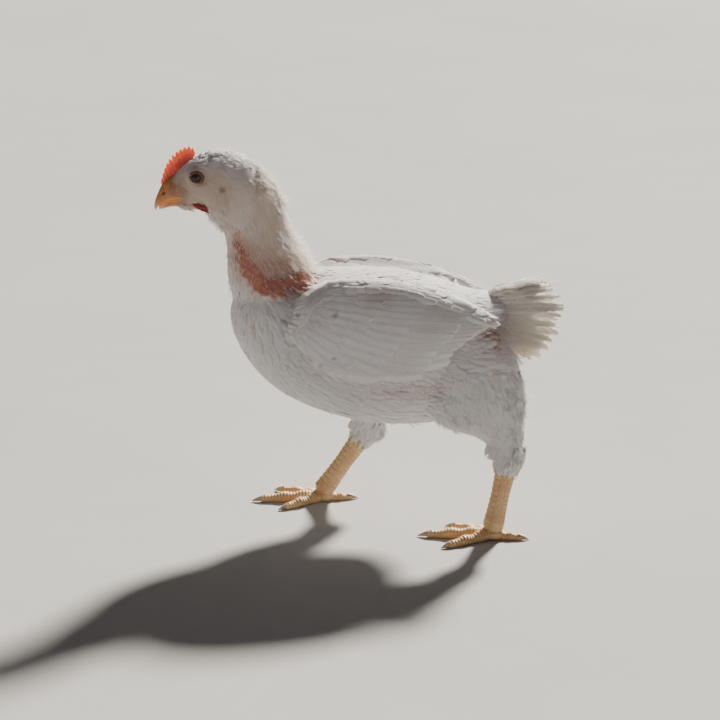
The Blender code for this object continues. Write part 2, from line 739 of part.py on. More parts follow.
def make_leg(side):
    """Thigh, shank, foot and claws of one leg, each cut to meet the next."""
    upper = thigh(side)
    carve(upper, trunk(GAP))
    carve(upper, loft("shank", shank_rings(side, GAP)))
    finish(upper, f"thigh_{side}", "feathers")
    shank = loft("shank", shank_rings(side))
    ankle = np.array(FOOT[side]) * (1, SIDES[side], 1) + np.array([0, 0, 4 * MM])
    lower = half(shank, ankle, (0, 0, -1), "pad")
    upper_shank = half(shank, ankle, (0, 0, 1), "shank")
    discard(shank)
    finish(upper_shank, f"shank_{side}", "leg_scales")
    foot = fuse(lower, [toe_form(side, toe) for toe in TOES])
    top_cut = half(foot, ankle, (0, 0, -1), "foot")
    discard(foot)
    standing = half(top_cut, (0, 0, -GAP / 2), (0, 0, 1), "foot")
    discard(top_cut)
    finish(standing, f"foot_{side}", "leg_scales")
    for toe in TOES:
        make_claw(side, toe)


def wing_point(sign, x, s, lift):
    """The place of a point of the wing's plan, at a height over the smooth form of the flank."""
    fall = ((x - WING_WIDEST) / WING_SPAN) ** 2
    half_width = WING_HALF_WIDTH - WING_WIDTH_FALL * fall
    fall = ((x - WING_DEEPEST) / (1.1 * WING_SPAN)) ** 2
    half_depth = WING_HALF_DEPTH - WING_DEPTH_FALL * fall
    angle = s / WING_ARC
    c, k = math.cos(angle), math.sin(angle)
    y = half_width * math.copysign(abs(c) ** (2 / WING_SQUARENESS), c)
    z = half_depth * math.copysign(abs(k) ** (2 / WING_SQUARENESS), k)
    normal = np.array([0, c / half_width, k / half_depth])
    normal /= np.linalg.norm(normal)
    tuck = np.clip((WING_TUCK_FROM - s) / (WING_TUCK_FROM - WING_TUCK_TO), 0, 1)
    place = np.array([x, y, WING_LEVEL + z]) + normal * lift * (1 - WING_TUCK * tuck)
    return place * (1, sign, 1)


def vane(place, thickness):
    """A feather as a thin closed plate. place(u, v, h) puts a point at a share u of the length,
    a share v of the half width and a height h over the feather's inner face.
    """
    lines = []
    for u, width in VANE_OUTLINE:
        edge = thickness * (0.75 if u < 1 else 0.5)
        lines.append(
            [place(u, v * width, 0) for v in (-1, 0, 1)]
            + [place(u, v * width, thickness if v == 0 and u < 1 else edge) for v in (-1, 0, 1)]
        )
    points = [p for line in lines for p in line]
    faces = []
    for r in range(len(lines) - 1):
        a, b = 6 * r, 6 * (r + 1)
        for k in (0, 1):
            faces += [(a + k, b + k, b + k + 1), (a + k, b + k + 1, a + k + 1)]
            faces += [(a + k + 3, b + k + 4, b + k + 3), (a + k + 3, a + k + 4, b + k + 4)]
        for low, high in ((0, 3), (2, 5)):
            faces += [(a + low, a + high, b + high), (a + low, b + high, b + low)]
    for a in (0, 6 * (len(lines) - 1)):
        for k in (0, 1):
            faces += [(a + k, a + k + 1, a + k + 4), (a + k, a + k + 4, a + k + 3)]
    return new_mesh_object("vane", points, faces)


def wing_vane(sign, root, tip, half_width, lift):
    """A flight feather or covert of the folded wing, laid along the flank."""
    root, tip = np.array(root), np.array(tip)
    run = tip - root
    across = np.array([-run[1], run[0]]) / np.linalg.norm(run)

    def place(u, v, h):
        x, s = root + run * u + across * v * half_width
        return wing_point(sign, x, s, lift + h)

    return vane(place, WING_VANE_THICKNESS)


def wing_arm(sign):
    """The fleshy arm in which the feathers are rooted, a low dome laid along the flank."""
    rings = []
    for x, low, high, thickness in smooth_rows(WING_ARM, WING_ARM_ROWS, places=4):
        ring = []
        for k in range(WING_ARM_COLUMNS + 1):
            v = k / WING_ARM_COLUMNS
            lift = 0.5 * MM + thickness * math.sin(math.pi * v) ** 0.7
            ring.append(wing_point(sign, x, low + (high - low) * v, lift))
        for v in (0.9, 0.5, 0.1):
            ring.append(wing_point(sign, x, low + (high - low) * v, -WING_ARM_DEPTH))
        rings.append(np.array(ring))
    return loft("arm", rings)


def make_wing(side):
    """A folded wing: the arm with its tiers of overlapping feathers."""
    sign = SIDES[side]
    wing = wing_arm(sign)
    vanes = []
    for count, root_a, root_b, tip_a, tip_b, half_width, lift, step in WING_TIERS.values():
        for i in range(count):
            share = i / (count - 1)
            root = (np.array(root_a) + (np.array(root_b) - root_a) * share) * MM
            tip = (np.array(tip_a) + (np.array(tip_b) - tip_a) * share) * MM
            vanes.append(wing_vane(sign, root, tip, half_width * MM, (lift + step * i) * MM))
    fuse(wing, vanes)
    carve(wing, trunk(GAP))
    carve(wing, thigh(side, GAP))
    finish(wing, f"wing_{side}", "wing_feathers")


def tail_vane(sign, share, length_share, lift):
    """A tail feather at a share of the fan from the middle pair down."""
    root = np.array(TAIL_ROOT_TOP) + (np.array(TAIL_ROOT_LOW) - TAIL_ROOT_TOP) * share
    at = share * (len(TAIL_TIPS) - 1)
    tip = np.array([np.interp(at, range(len(TAIL_TIPS)), TAIL_TIPS[:, k]) for k in range(3)])
    run = (tip - root) * length_share
    back = run / np.linalg.norm(run)
    turn = math.radians(TAIL_TURN_TOP + (TAIL_TURN_LOW - TAIL_TURN_TOP) * share)
    across = np.array([0, math.cos(turn), -math.sin(turn)])
    across -= back * (across @ back)
    across /= np.linalg.norm(across)
    facing = np.cross(across, back)
    facing *= 1 if facing[2] > 0 else -1

    def place(u, v, h):
        p = root + run * u + across * v * TAIL_HALF_WIDTH + facing * (h + lift)
        p = p + np.array([0, 0, TAIL_DROOP * 4 * u * (1 - u)]) * (1 - 0.6 * share)
        return p * (1, sign, 1)

    return vane(place, TAIL_VANE_THICKNESS)


def make_tail(rump):
    """The tail: its fleshy base, the fan of main feathers and their coverts on both sides."""
    vanes = []
    for sign in SIDES.values():
        for i in range(len(TAIL_TIPS)):
            vanes.append(tail_vane(sign, i / (len(TAIL_TIPS) - 1), 1, -TAIL_LIFT_STEP * i))
        for i in range(TAIL_COVERTS):
            share = (i + 0.4) / TAIL_COVERTS
            lift = TAIL_LIFT - TAIL_LIFT_STEP * share * (len(TAIL_TIPS) - 1)
            vanes.append(tail_vane(sign, share, TAIL_COVERT_LENGTH, lift))
    fuse(rump, vanes)
    clean = half(rump, TAIL_CUT, TAIL_CUT_NORMAL, "tail")
    discard(rump)
    return clean


def main():
    """Builds every piece of the bird."""
    for obj in list(bpy.data.objects):
        bpy.data.objects.remove(obj)
    bird = bpy.data.collections.new("Broiler_chicken")
    bpy.context.scene.collection.children.link(bird)

    body = trunk()
    whole_head = neck_head()
    head = make_head(whole_head)
    finish(head, "head", "feathers")
    make_eyes()
    make_bill()
    finish(make_comb(), "comb", "bare_skin")
    make_wattles(head)

    neck_only = half(whole_head, HEAD_CUT, -Vector(HEAD_CUT_NORMAL), "neck")
    discard(whole_head)
    rump = half(body, TAIL_BLANK_CUT, TAIL_CUT_NORMAL, "rump")
    front = half(body, TAIL_CUT, -Vector(TAIL_CUT_NORMAL), "front")
    discard(body)
    fuse(front, [neck_only])
    neck = half(front, NECK_CUT, NECK_CUT_NORMAL, "neck")
    torso = half(front, NECK_CUT, -Vector(NECK_CUT_NORMAL), "torso")
    discard(front)
    finish(neck, "neck", "feathers")
    finish(torso, "torso", "feathers")
    finish(make_tail(rump), "tail", "wing_feathers")
    for side in SIDES:
        make_leg(side)
        make_wing(side)


main()
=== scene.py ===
"""The looks of a young white broiler chicken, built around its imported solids.

The bird faces -X, its left side is towards -Y, up is +Z and the floor is at Z = 0. The tables hold real
sizes in millimetres, made metres by MM. One skin takes the place of the flesh. Feathers are thin closed
vanes that are laid over it along their lie. Bill, comb, wattles, eyes, legs and claws are pieces of
their own.
"""

import itertools
import logging
import math
from collections.abc import Callable
from dataclasses import dataclass, field
from enum import Enum

import bmesh
import bpy
import numpy as np
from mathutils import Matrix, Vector
from mathutils.bvhtree import BVHTree

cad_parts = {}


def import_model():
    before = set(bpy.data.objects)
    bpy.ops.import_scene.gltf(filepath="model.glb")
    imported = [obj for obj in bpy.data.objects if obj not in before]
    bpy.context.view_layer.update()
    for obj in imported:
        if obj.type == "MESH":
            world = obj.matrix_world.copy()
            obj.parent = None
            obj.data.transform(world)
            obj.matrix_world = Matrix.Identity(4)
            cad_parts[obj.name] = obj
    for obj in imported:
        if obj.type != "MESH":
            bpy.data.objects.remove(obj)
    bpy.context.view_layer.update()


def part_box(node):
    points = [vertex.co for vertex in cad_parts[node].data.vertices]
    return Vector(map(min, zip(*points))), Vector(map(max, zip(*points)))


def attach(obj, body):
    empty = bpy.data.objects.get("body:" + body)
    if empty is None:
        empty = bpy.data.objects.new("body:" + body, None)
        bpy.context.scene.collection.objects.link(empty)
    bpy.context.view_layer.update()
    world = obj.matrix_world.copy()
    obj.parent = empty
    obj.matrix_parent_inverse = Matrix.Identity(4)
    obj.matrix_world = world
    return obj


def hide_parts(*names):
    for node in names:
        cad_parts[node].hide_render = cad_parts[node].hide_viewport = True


MM = 0.001
BODY = "root"
LOG = logging.getLogger("broiler")
Array = np.ndarray
Rng = np.random.Generator
Point = tuple[float, float, float]
Colour = Point
Object, Material, Mesh = bpy.types.Object, bpy.types.Material, bpy.types.Mesh
Node, NodeTree, Socket = bpy.types.Node, bpy.types.NodeTree, bpy.types.NodeSocket
GOLDEN_ANGLE = 2.399963
Y, Z = np.array((0.0, 1.0, 0.0)), np.array((0.0, 0.0, 1.0))


class Side(Enum):
    """The two sides of the bird, as the sign of Y."""

    LEFT = -1
    RIGHT = 1

    @property
    def word(self) -> str:
        """The side's name as the nodes have it."""
        return self.name.lower()


class Slot(Enum):
    """The record's material slots."""

    FEATHERS = "feathers"
    WING_FEATHERS = "wing_feathers"
    BARE_SKIN = "bare_skin"
    BILL_HORN = "bill_horn"
    EYE_GLASS = "eye_glass"
    LEG_SCALES = "leg_scales"
    CLAW_HORN = "claw_horn"


class Zone(Enum):
    """Parts of the skin that have a coat of their own."""

    TRUNK = 0
    NECK_HEAD = 1
    THIGH_LEFT = 2
    THIGH_RIGHT = 3


THIGH_ZONES = ((Side.LEFT, Zone.THIGH_LEFT), (Side.RIGHT, Zone.THIGH_RIGHT))


def rows_mm(*rows: tuple[float, ...]) -> Array:
    """Rows of a table in millimetres, as an array in metres."""
    return np.array(rows, float) * MM


def table(*rows: tuple[float, ...]) -> Array:
    """A dataclass field with rows of a table in millimetres."""
    return field(default_factory=lambda: rows_mm(*rows))


def unit(vectors: Array) -> Array:
    """The vectors at length one."""
    return vectors / np.maximum(np.linalg.norm(vectors, axis=-1, keepdims=True), 1e-12)


def crosswise(vectors: Array, line: Array) -> Array:
    """What is left of the vectors at right angles to a line."""
    return vectors - line * (vectors * line).sum(-1, keepdims=True)


def circle(count: int) -> Array:
    """Angles of points spread evenly round a circle."""
    return 2 * math.pi * np.arange(count) / count


def columns_at(rows: Array, at: Array, *columns: int) -> list[Array]:
    """Columns of a table, read at places along its first column."""
    return [np.interp(at, rows[:, 0], rows[:, k]) for k in columns]


def ease(value: Array, low: float, high: float) -> Array:
    """0 below low and 1 above high, with a smooth step between."""
    t = np.clip((value - low) / (high - low), 0, 1)
    return t * t * (3 - 2 * t)


def ripple(points: Array, wavelength: float, seed: float = 0.0) -> Array:
    """A smooth uneven pattern of about -1 to 1, the same each time.

    Args:
        points: Places, one to a row.
        wavelength: Rough size of the pattern's patches.
        seed: Shifts the pattern.

    Returns:
        One value for each place.
    """
    k = 2 * math.pi / wavelength
    x, y, z = (points[:, i] * k for i in range(3))
    waves = np.sin(x + 1.7 * np.sin(0.7 * z + seed)) + np.sin(1.3 * z - 0.6 * y + 2.1 * seed)
    waves += np.sin(0.8 * y + 1.9 * np.sin(0.9 * x + 1.1 * seed) + 0.5 * z)
    return waves / 3


def smooth_rows(rows: Array, count: int, places: int = 2) -> Array:
    """A smooth curve through the rows of a table.

    Args:
        rows: First columns are places, the others radii. Radii of zero make a round end.
        count: How many rows to give back.
        places: How many columns are places.

    Returns:
        The rows along the curve.
    """
    first, last = rows[1].copy(), rows[-2].copy()
    for ghost, end in ((first, rows[0]), (last, rows[-1])):
        if len(end) > places and np.allclose(end[places:], 0):
            ghost[places:] *= -1
        else:
            ghost[:] = 2 * end - ghost
    padded = np.vstack([first, rows, last])
    steps = np.linalg.norm(np.diff(padded, axis=0), axis=1)
    knots = np.concatenate([[0], np.cumsum(np.sqrt(steps))])
    slopes = np.gradient(padded, knots, axis=0)
    at = np.linspace(knots[1], knots[-2], count)
    index = np.clip(np.searchsorted(knots, at, side="right") - 1, 1, len(rows) - 1)
    span = (knots[index + 1] - knots[index])[:, None]
    t = (at - knots[index])[:, None] / span
    start, end = padded[index], padded[index + 1]
    curve = (2 * t**3 - 3 * t**2 + 1) * start + (t**3 - 2 * t**2 + t) * span * slopes[index]
    curve += (3 * t**2 - 2 * t**3) * end + (t**3 - t**2) * span * slopes[index + 1]
    for tip, neighbour in ((0, 1), (-1, -2)):
        curve[tip, places:] = np.maximum(curve[tip, places:], 0.12 * curve[neighbour, places:])
    return curve


@dataclass
class Form:
    """Points and triangles or quads of a closed form, with values that its points carry."""

    points: Array
    faces: list
    values: dict[str, Array] = field(default_factory=dict)

    @staticmethod
    def loft(rings: Array) -> "Form":
        """A closed tube through rings of the same number of points.

        Args:
            rings: Array of rings, points and coordinates.

        Returns:
            The tube, with a fan over each end.
        """
        rings = np.asarray(rings, float)
        count, around = rings.shape[:2]
        points = np.vstack([rings.reshape(-1, 3), rings[0].mean(0), rings[-1].mean(0)])
        r, i = np.meshgrid(np.arange(count - 1), np.arange(around), indexing="ij")
        j = (i + 1) % around
        quads = np.stack([r * around + i, r * around + j, (r + 1) * around + j, (r + 1) * around + i], -1)
        faces = [tuple(q) for q in quads.reshape(-1, 4).tolist()]
        for row, middle in ((0, count * around), (count - 1, count * around + 1)):
            faces += [(row * around + k, row * around + (k + 1) % around, middle) for k in range(around)]
        return Form(points, faces)

    @staticmethod
    def joined(forms: "list[Form]") -> "Form":
        """Several forms in one, values included."""
        faces, start = [], 0
        for form in forms:
            faces += [tuple(int(k) + start for k in face) for face in form.faces]
            start += len(form.points)
        names = forms[0].values
        values = {n: np.concatenate([f.values[n] for f in forms]) for n in names}
        return Form(np.vstack([f.points for f in forms]), faces, values)


class Workshop:
    """Makes finished pieces out of forms, and hands them to the frame."""

    def __init__(self, shift: Array) -> None:
        """Keeps the way from the tables' origin to the frame's."""
        self.shift = shift

    def link(self, name: str, mesh: Mesh) -> Object:
        """A new object of a mesh, linked to the scene."""
        obj = bpy.data.objects.new(name, mesh)
        bpy.context.scene.collection.objects.link(obj)
        return obj

    def store(self, mesh: Mesh, values: dict[str, Array]) -> None:
        """Stores values that the mesh's points carry."""
        for key, value in values.items():
            mesh.attributes.new(key, "FLOAT", "POINT").data.foreach_set("value", value.astype(np.float32))

    def read(self, mesh: Mesh) -> tuple[Array, Array]:
        """Points of a mesh in the tables' coordinates, and their normals."""
        found = []
        for source, key in ((mesh.vertices, "co"), (mesh.vertex_normals, "vector")):
            flat = np.zeros(len(source) * 3, np.float32)
            source.foreach_get(key, flat)
            found.append(flat.reshape(-1, 3).astype(float))
        return found[0] - self.shift, found[1]

    def place(self, mesh: Mesh, points: Array) -> None:
        """Puts a mesh's points at places in the tables' coordinates."""
        mesh.vertices.foreach_set("co", (points + self.shift).astype(np.float32).ravel())

    def raw(self, name: str, form: Form, outward: bool = True) -> Object:
        """An object of a form.

        Args:
            name: The object's name.
            form: Its points and faces.
            outward: Whether the faces have to be turned outward here.

        Returns:
            The object, at the origin, with its place in its mesh.
        """
        mesh = bpy.data.meshes.new(name)
        mesh.from_pydata((form.points + self.shift).astype(np.float32), [], form.faces)
        obj = self.link(name, mesh)
        self.store(mesh, form.values)
        if outward:
            shape = bmesh.new()
            shape.from_mesh(mesh)
            bmesh.ops.remove_doubles(shape, verts=shape.verts, dist=1e-6)
            bmesh.ops.recalc_face_normals(shape, faces=shape.faces)
            shape.to_mesh(mesh)
            shape.free()
        return obj

    def apply(self, obj: Object) -> Object:
        """Makes the object's evaluated mesh its own, and removes its modifiers."""
        graph = bpy.context.evaluated_depsgraph_get()
        mesh = bpy.data.meshes.new_from_object(obj.evaluated_get(graph))
        obj.modifiers.clear()
        old, obj.data = obj.data, mesh
        bpy.data.meshes.remove(old)
        mesh.name = obj.name
        return obj

    def fused(self, name: str, forms: list[Form], voxel: float, smoothing: int) -> Object:
        """One even, smooth skin round forms that reach into each other.

        Args:
            name: The object's name.
            forms: The forms to fuse.
            voxel: Size of the new faces.
            smoothing: How often the skin is smoothed.

        Returns:
            The fused object.
        """
        obj = self.raw(name, Form.joined(forms))
        remesh = obj.modifiers.new("remesh", "REMESH")
        remesh.mode, remesh.voxel_size = "VOXEL", voxel
        smooth = obj.modifiers.new("smooth", "SMOOTH")
        smooth.factor, smooth.iterations = 0.5, smoothing
        return self.apply(obj)

    def finish(self, obj: Object, finish: Material, slot: Slot, nodes: tuple[str, ...] = (),
               sharp: float = 50.0) -> None:
        """Gives a piece its material and its place on the body.

        Args:
            obj: The piece.
            finish: Its material.
            slot: The record's slot for the piece; not used.
            nodes: The solids it stands for.
            sharp: Edges bent more than this many degrees stay crisp.
        """
        obj.data.materials.clear()
        obj.data.materials.append(finish)
        obj.data.shade_smooth()
        obj.data.set_sharp_from_angle(angle=math.radians(sharp))
        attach(obj, BODY)
        if nodes:
            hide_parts(*nodes)
        triangles = sum(len(p.vertices) - 2 for p in obj.data.polygons)
        LOG.info("%s: %d triangles", obj.name, triangles)


class Graph:
    """A node tree under construction."""

    def __init__(self, tree: NodeTree) -> None:
        """Starts work on a tree."""
        self.tree = tree

    def node(self, kind: str, feeds: dict | None = None, **settings: object) -> Node:
        """A new node of a kind, with what is fed into its inputs, and its settings."""
        made = self.tree.nodes.new(kind)
        for key, value in settings.items():
            setattr(made, key, value)
        for key, value in (feeds or {}).items():
            self.feed(made.inputs[key], value)
        return made

    def feed(self, socket: Socket, value: object) -> None:
        """Links a socket into an input, or sets a plain value on it."""
        if isinstance(value, Socket):
            self.tree.links.new(value, socket)
        elif socket.type == "RGBA":
            socket.default_value = (*value, 1)
        else:
            socket.default_value = value

    def math(self, operation: str, *values: object) -> Socket:
        """The result of a sum on one or two values."""
        return self.node("ShaderNodeMath", dict(enumerate(values)), operation=operation).outputs[0]

    def times(self, a: object, b: object) -> Socket:
        """Two values multiplied."""
        return self.math("MULTIPLY", a, b)

    def mix(self, factor: object, a: object, b: object) -> Socket:
        """Colour a turning into colour b as the factor goes from 0 to 1."""
        made = self.node("ShaderNodeMix", data_type="RGBA")
        sockets = {s.identifier: s for s in made.inputs}
        for key, value in (("Factor_Float", factor), ("A_Color", a), ("B_Color", b)):
            self.feed(sockets[key], value)
        return next(s for s in made.outputs if s.type == "RGBA")

    def noise(self, place: object, scale: object, detail: float) -> Socket:
        """Soft noise at a place."""
        feeds = {"Vector": place, "Scale": scale, "Detail": detail}
        return self.node("ShaderNodeTexNoise", feeds).outputs["Fac"]

    def fit(self, value: object, low: float, high: float, new_low: float = 0.0,
            new_high: float = 1.0) -> Socket:
        """A value moved from one range to another, held at its ends."""
        feeds = {"Value": value, "From Min": low, "From Max": high, "To Min": new_low, "To Max": new_high}
        return self.node("ShaderNodeMapRange", feeds, interpolation_type="SMOOTHSTEP").outputs["Result"]

    def attribute(self, name: str) -> Socket:
        """A value that the mesh's points carry."""
        return self.node("ShaderNodeAttribute", attribute_name=name).outputs["Fac"]

    def group(self, tree: NodeTree, **values: object) -> dict[str, Socket]:
        """The outputs of a node group that has these values on its inputs."""
        return {s.name: s for s in self.node("ShaderNodeGroup", values, node_tree=tree).outputs}


class Effects:
    """Shader effects that several materials share, each built once as a node group."""

    def __init__(self) -> None:
        """Builds the groups."""
        self.mottle = self._mottle()
        self.pores = self._pores()
        self.barbs = self._barbs()

    def _start(self, name: str, inputs: dict[str, str],
               outputs: dict[str, str]) -> tuple[Graph, dict, object]:
        """A new group with its sockets.

        Args:
            name: The group's name.
            inputs: Names and kinds of its inputs.
            outputs: Names and kinds of its outputs.

        Returns:
            Its graph, its inputs by name and its output node's sockets.
        """
        tree = bpy.data.node_groups.new(name, "ShaderNodeTree")
        for side, sockets in (("INPUT", inputs), ("OUTPUT", outputs)):
            for label, kind in sockets.items():
                tree.interface.new_socket(label, in_out=side, socket_type=f"NodeSocket{kind}")
        graph = Graph(tree)
        source = graph.node("NodeGroupInput")
        return graph, {s.name: s for s in source.outputs if s.name}, graph.node("NodeGroupOutput").inputs

    def _mottle(self) -> NodeTree:
        """Uneven colour: two sizes of noise that mix two colours."""
        graph, given, out = self._start(
            "Mottle", {"Place": "Vector", "Scale": "Float", "Light": "Color", "Dark": "Color"},
            {"Colour": "Color", "Mask": "Float"})
        broad, fine = (graph.noise(given["Place"], graph.times(given["Scale"], factor), detail)
                       for factor, detail in ((1.0, 2.0), (6.5, 4.0)))
        both = graph.math("ADD", graph.times(broad, 0.6), graph.times(fine, 0.4))
        mask = graph.fit(both, 0.36, 0.64)
        graph.feed(out["Colour"], graph.mix(mask, given["Light"], given["Dark"]))
        graph.feed(out["Mask"], mask)
        return graph.tree

    def _pores(self) -> NodeTree:
        """Small rounded cells over fine wrinkles, for skin, comb and leg, with a mask of their low places
        where shade is painted.
        """
        graph, given, out = self._start(
            "Pores", {"Place": "Vector", "Cells": "Float", "Wrinkles": "Float"},
            {"Height": "Float", "CreaseShade": "Float"})
        feeds = {"Vector": given["Place"], "Scale": given["Cells"]}
        cells = graph.node("ShaderNodeTexVoronoi", feeds, feature="F1").outputs["Distance"]
        lines = graph.noise(given["Place"], given["Wrinkles"], 5.0)
        dome = graph.fit(cells, 0.1, 0.75, 1.0, 0.0)
        height = graph.math("ADD", graph.times(dome, 0.65), graph.times(lines, 0.35))
        graph.feed(out["Height"], height)
        graph.feed(out["CreaseShade"], graph.fit(height, 0.35, 0.62, 1.0, 0.0))
        return graph.tree

    def _barbs(self) -> NodeTree:
        """Fine barbs that run out from the shaft of a feather, and the shaft itself."""
        graph, given, out = self._start(
            "Barbs", {"Along": "Float", "Across": "Float", "Count": "Float", "Slant": "Float"},
            {"Height": "Float", "Shaft": "Float"})
        off = graph.math("ABSOLUTE", given["Across"])
        run = graph.math("SUBTRACT", given["Along"], graph.times(off, given["Slant"]))
        wave = graph.math("SINE", graph.times(run, given["Count"]))
        shaft = graph.fit(off, 0.04, 0.16, 1.0, 0.0)
        graph.feed(out["Height"], graph.math("ADD", graph.times(wave, 0.5), shaft))
        graph.feed(out["Shaft"], shaft)
        return graph.tree


@dataclass(frozen=True)
class Finish:
    """What all finishes share: a Principled material with a colour, a roughness and a bump."""

    name: str

    def fixed(self) -> dict[str, object]:
        """Values of the shader's own sockets, with underscores for spaces."""
        return {}

    def paint(self, graph: Graph, effects: Effects, place: Socket) -> tuple:
        """What is fed into the shader.

        Args:
            graph: The material's nodes.
            effects: The shared node groups.
            place: The object's own coordinates.

        Returns:
            The colour, then the roughness and the height, strength and depth of the bump if it has them.
        """
        raise NotImplementedError

    def mottled(self, graph: Graph, effects: Effects, place: Socket, scale: float, *pair: Colour) -> Socket:
        """A light and a dark colour in patches; the scale says how many there are."""
        light, dark = pair
        return graph.group(effects.mottle, Place=place, Scale=scale, Light=light, Dark=dark)["Colour"]

    def material(self, effects: Effects) -> Material:
        """The finished material.

        Args:
            effects: The shared node groups.

        Returns:
            The material.
        """
        made = bpy.data.materials.new(self.name)
        made.use_nodes = True
        shader = made.node_tree.nodes["Principled BSDF"]
        for key, value in self.fixed().items():
            shader.inputs[key.replace("_", " ")].default_value = value
        graph = Graph(made.node_tree)
        place = graph.node("ShaderNodeTexCoord").outputs["Object"]
        colour, *rest = self.paint(graph, effects, place)
        graph.feed(shader.inputs["Base Color"], colour)
        if rest:
            roughness, height, strength, depth = rest
            graph.feed(shader.inputs["Roughness"], roughness)
            bump = graph.node("ShaderNodeBump", {"Strength": strength, "Distance": depth, "Height": height})
            graph.feed(shader.inputs["Normal"], bump.outputs["Normal"])
        return made


@dataclass(frozen=True)
class FeatherFinish(Finish):
    """White feathers: warm at the neck, brown at the face, a little soiled."""

    light: Colour = (0.87, 0.84, 0.825)
    dark: Colour = (0.78, 0.74, 0.73)
    root: Colour = (0.80, 0.755, 0.73)
    shaft: Colour = (0.90, 0.86, 0.78)
    warm: Colour = (0.78, 0.585, 0.455)
    face: Colour = (0.36, 0.18, 0.09)
    blush: Colour = (0.50, 0.215, 0.165)
    soil: Colour = (0.16, 0.11, 0.08)
    barbs: float = 150.0
    sheen: float = 0.25
    glow: float = 0.3
    depth: float = 3 * MM

    def fixed(self) -> dict[str, object]:
        """Sheen and soft light through the feathers."""
        return {"Sheen_Weight": self.sheen, "Sheen_Roughness": 0.45, "Specular_IOR_Level": 0.25,
                "Subsurface_Weight": self.glow, "Subsurface_Radius": (1.0, 0.85, 0.62),
                "Subsurface_Scale": self.depth}

    def paint(self, graph: Graph, effects: Effects, place: Socket) -> tuple:
        """White with a root, a shaft, barbs and the bird's markings."""
        along, across = graph.attribute("along"), graph.attribute("across")
        mottle = self.mottled(graph, effects, place, 38.0, self.light, self.dark)
        colour = graph.mix(graph.fit(graph.attribute("tone"), 0.0, 1.0, 0.0, 0.55), mottle, self.light)
        colour = graph.mix(graph.fit(along, 0.05, 0.55, 0.35, 0.0), colour, self.root)
        barbs = graph.group(effects.barbs, Along=along, Across=across, Count=self.barbs, Slant=0.35)
        colour = graph.mix(graph.times(barbs["Shaft"], 0.3), colour, self.shaft)
        grain = graph.noise(place, 900.0, 2.0)
        for mark, tint, strength in (("warm", self.warm, 0.9), ("face", self.face, 0.9),
                                     ("blush", self.blush, 0.85), ("soil", self.soil, 0.65)):
            uneven = graph.times(graph.attribute(mark), graph.fit(grain, 0.3, 0.6, 0.75, 1.0))
            colour = graph.mix(graph.times(uneven, strength), colour, tint)
        return colour, graph.fit(grain, 0.3, 0.7, 0.62, 0.85), barbs["Height"], 0.2, 0.12 * MM


@dataclass(frozen=True)
class SkinFinish(Finish):
    """Pink skin, redder where it is bare, with raised feather roots."""

    name: str = "skin"
    pale: Colour = (0.80, 0.70, 0.64)
    pink: Colour = (0.76, 0.60, 0.53)
    bare: Colour = (0.34, 0.13, 0.10)
    bare_light: Colour = (0.49, 0.225, 0.17)
    # Painted shade in the creases of bare skin.
    crease_shade: Colour = (0.34, 0.11, 0.08)
    face: Colour = (0.25, 0.10, 0.042)
    lid: Colour = (0.15, 0.085, 0.06)

    def fixed(self) -> dict[str, object]:
        """Soft light through the skin."""
        return {"Subsurface_Weight": 0.18, "Subsurface_Radius": (1.0, 0.35, 0.2),
                "Subsurface_Scale": 2.5 * MM, "Specular_IOR_Level": 0.4}

    def paint(self, graph: Graph, effects: Effects, place: Socket) -> tuple:
        """Pink, red where it is bare, brown at the face, dark on the lids, with painted shade in the creases
        of bare skin.
        """
        base = self.mottled(graph, effects, place, 60.0, self.pale, self.pink)
        red = self.mottled(graph, effects, place, 90.0, self.bare_light, self.bare)
        pores = graph.group(effects.pores, Place=place, Cells=420.0, Wrinkles=260.0)
        colour = graph.mix(graph.attribute("bare"), base, red)
        colour = graph.mix(graph.times(graph.attribute("face"), 0.95), colour, self.face)
        # Painted shade: darker in the low places of the pores, where the skin is bare.
        shaded_creases = graph.times(pores["CreaseShade"], graph.times(graph.attribute("bare"), 0.4))
        colour = graph.mix(shaded_creases, colour, self.crease_shade)
        colour = graph.mix(graph.attribute("lid"), colour, self.lid)
        return colour, graph.fit(pores["Height"], 0.2, 0.8, 0.62, 0.42), pores["Height"], 0.5, 0.35 * MM


@dataclass(frozen=True)
class FleshFinish(Finish):
    """Comb and wattles: thin red flesh that lets light through, with a painted glow at its edge and painted
    shade in its creases.
    """

    base: Colour = (0.78, 0.13, 0.10)
    deep: Colour = (0.60, 0.07, 0.06)
    # Painted glow of light through the thin edge of the flesh.
    edge: Colour = (0.98, 0.34, 0.10)
    # Painted shade in the creases of the flesh.
    crease_shade: Colour = (0.38, 0.03, 0.03)
    glow: float = 0.6

    def fixed(self) -> dict[str, object]:
        """Red light through the flesh."""
        return {"Subsurface_Weight": self.glow, "Subsurface_Radius": (1.0, 0.28, 0.12),
                "Subsurface_Scale": 3.5 * MM, "Specular_IOR_Level": 0.5}

    def paint(self, graph: Graph, effects: Effects, place: Socket) -> tuple:
        """Mottled red, with a painted glow towards the edge and painted shade in its creases."""
        mottle = self.mottled(graph, effects, place, 150.0, self.base, self.deep)
        pores = graph.group(effects.pores, Place=place, Cells=900.0, Wrinkles=500.0)
        # Painted glow: towards the outer part the colour turns to the edge colour.
        colour = graph.mix(graph.fit(graph.attribute("outer"), 0.35, 1.0), mottle, self.edge)
        # Painted shade in the low places of the pores.
        colour = graph.mix(graph.times(pores["CreaseShade"], 0.3), colour, self.crease_shade)
        return colour, graph.fit(pores["Height"], 0.2, 0.8, 0.6, 0.38), pores["Height"], 0.6, 0.25 * MM


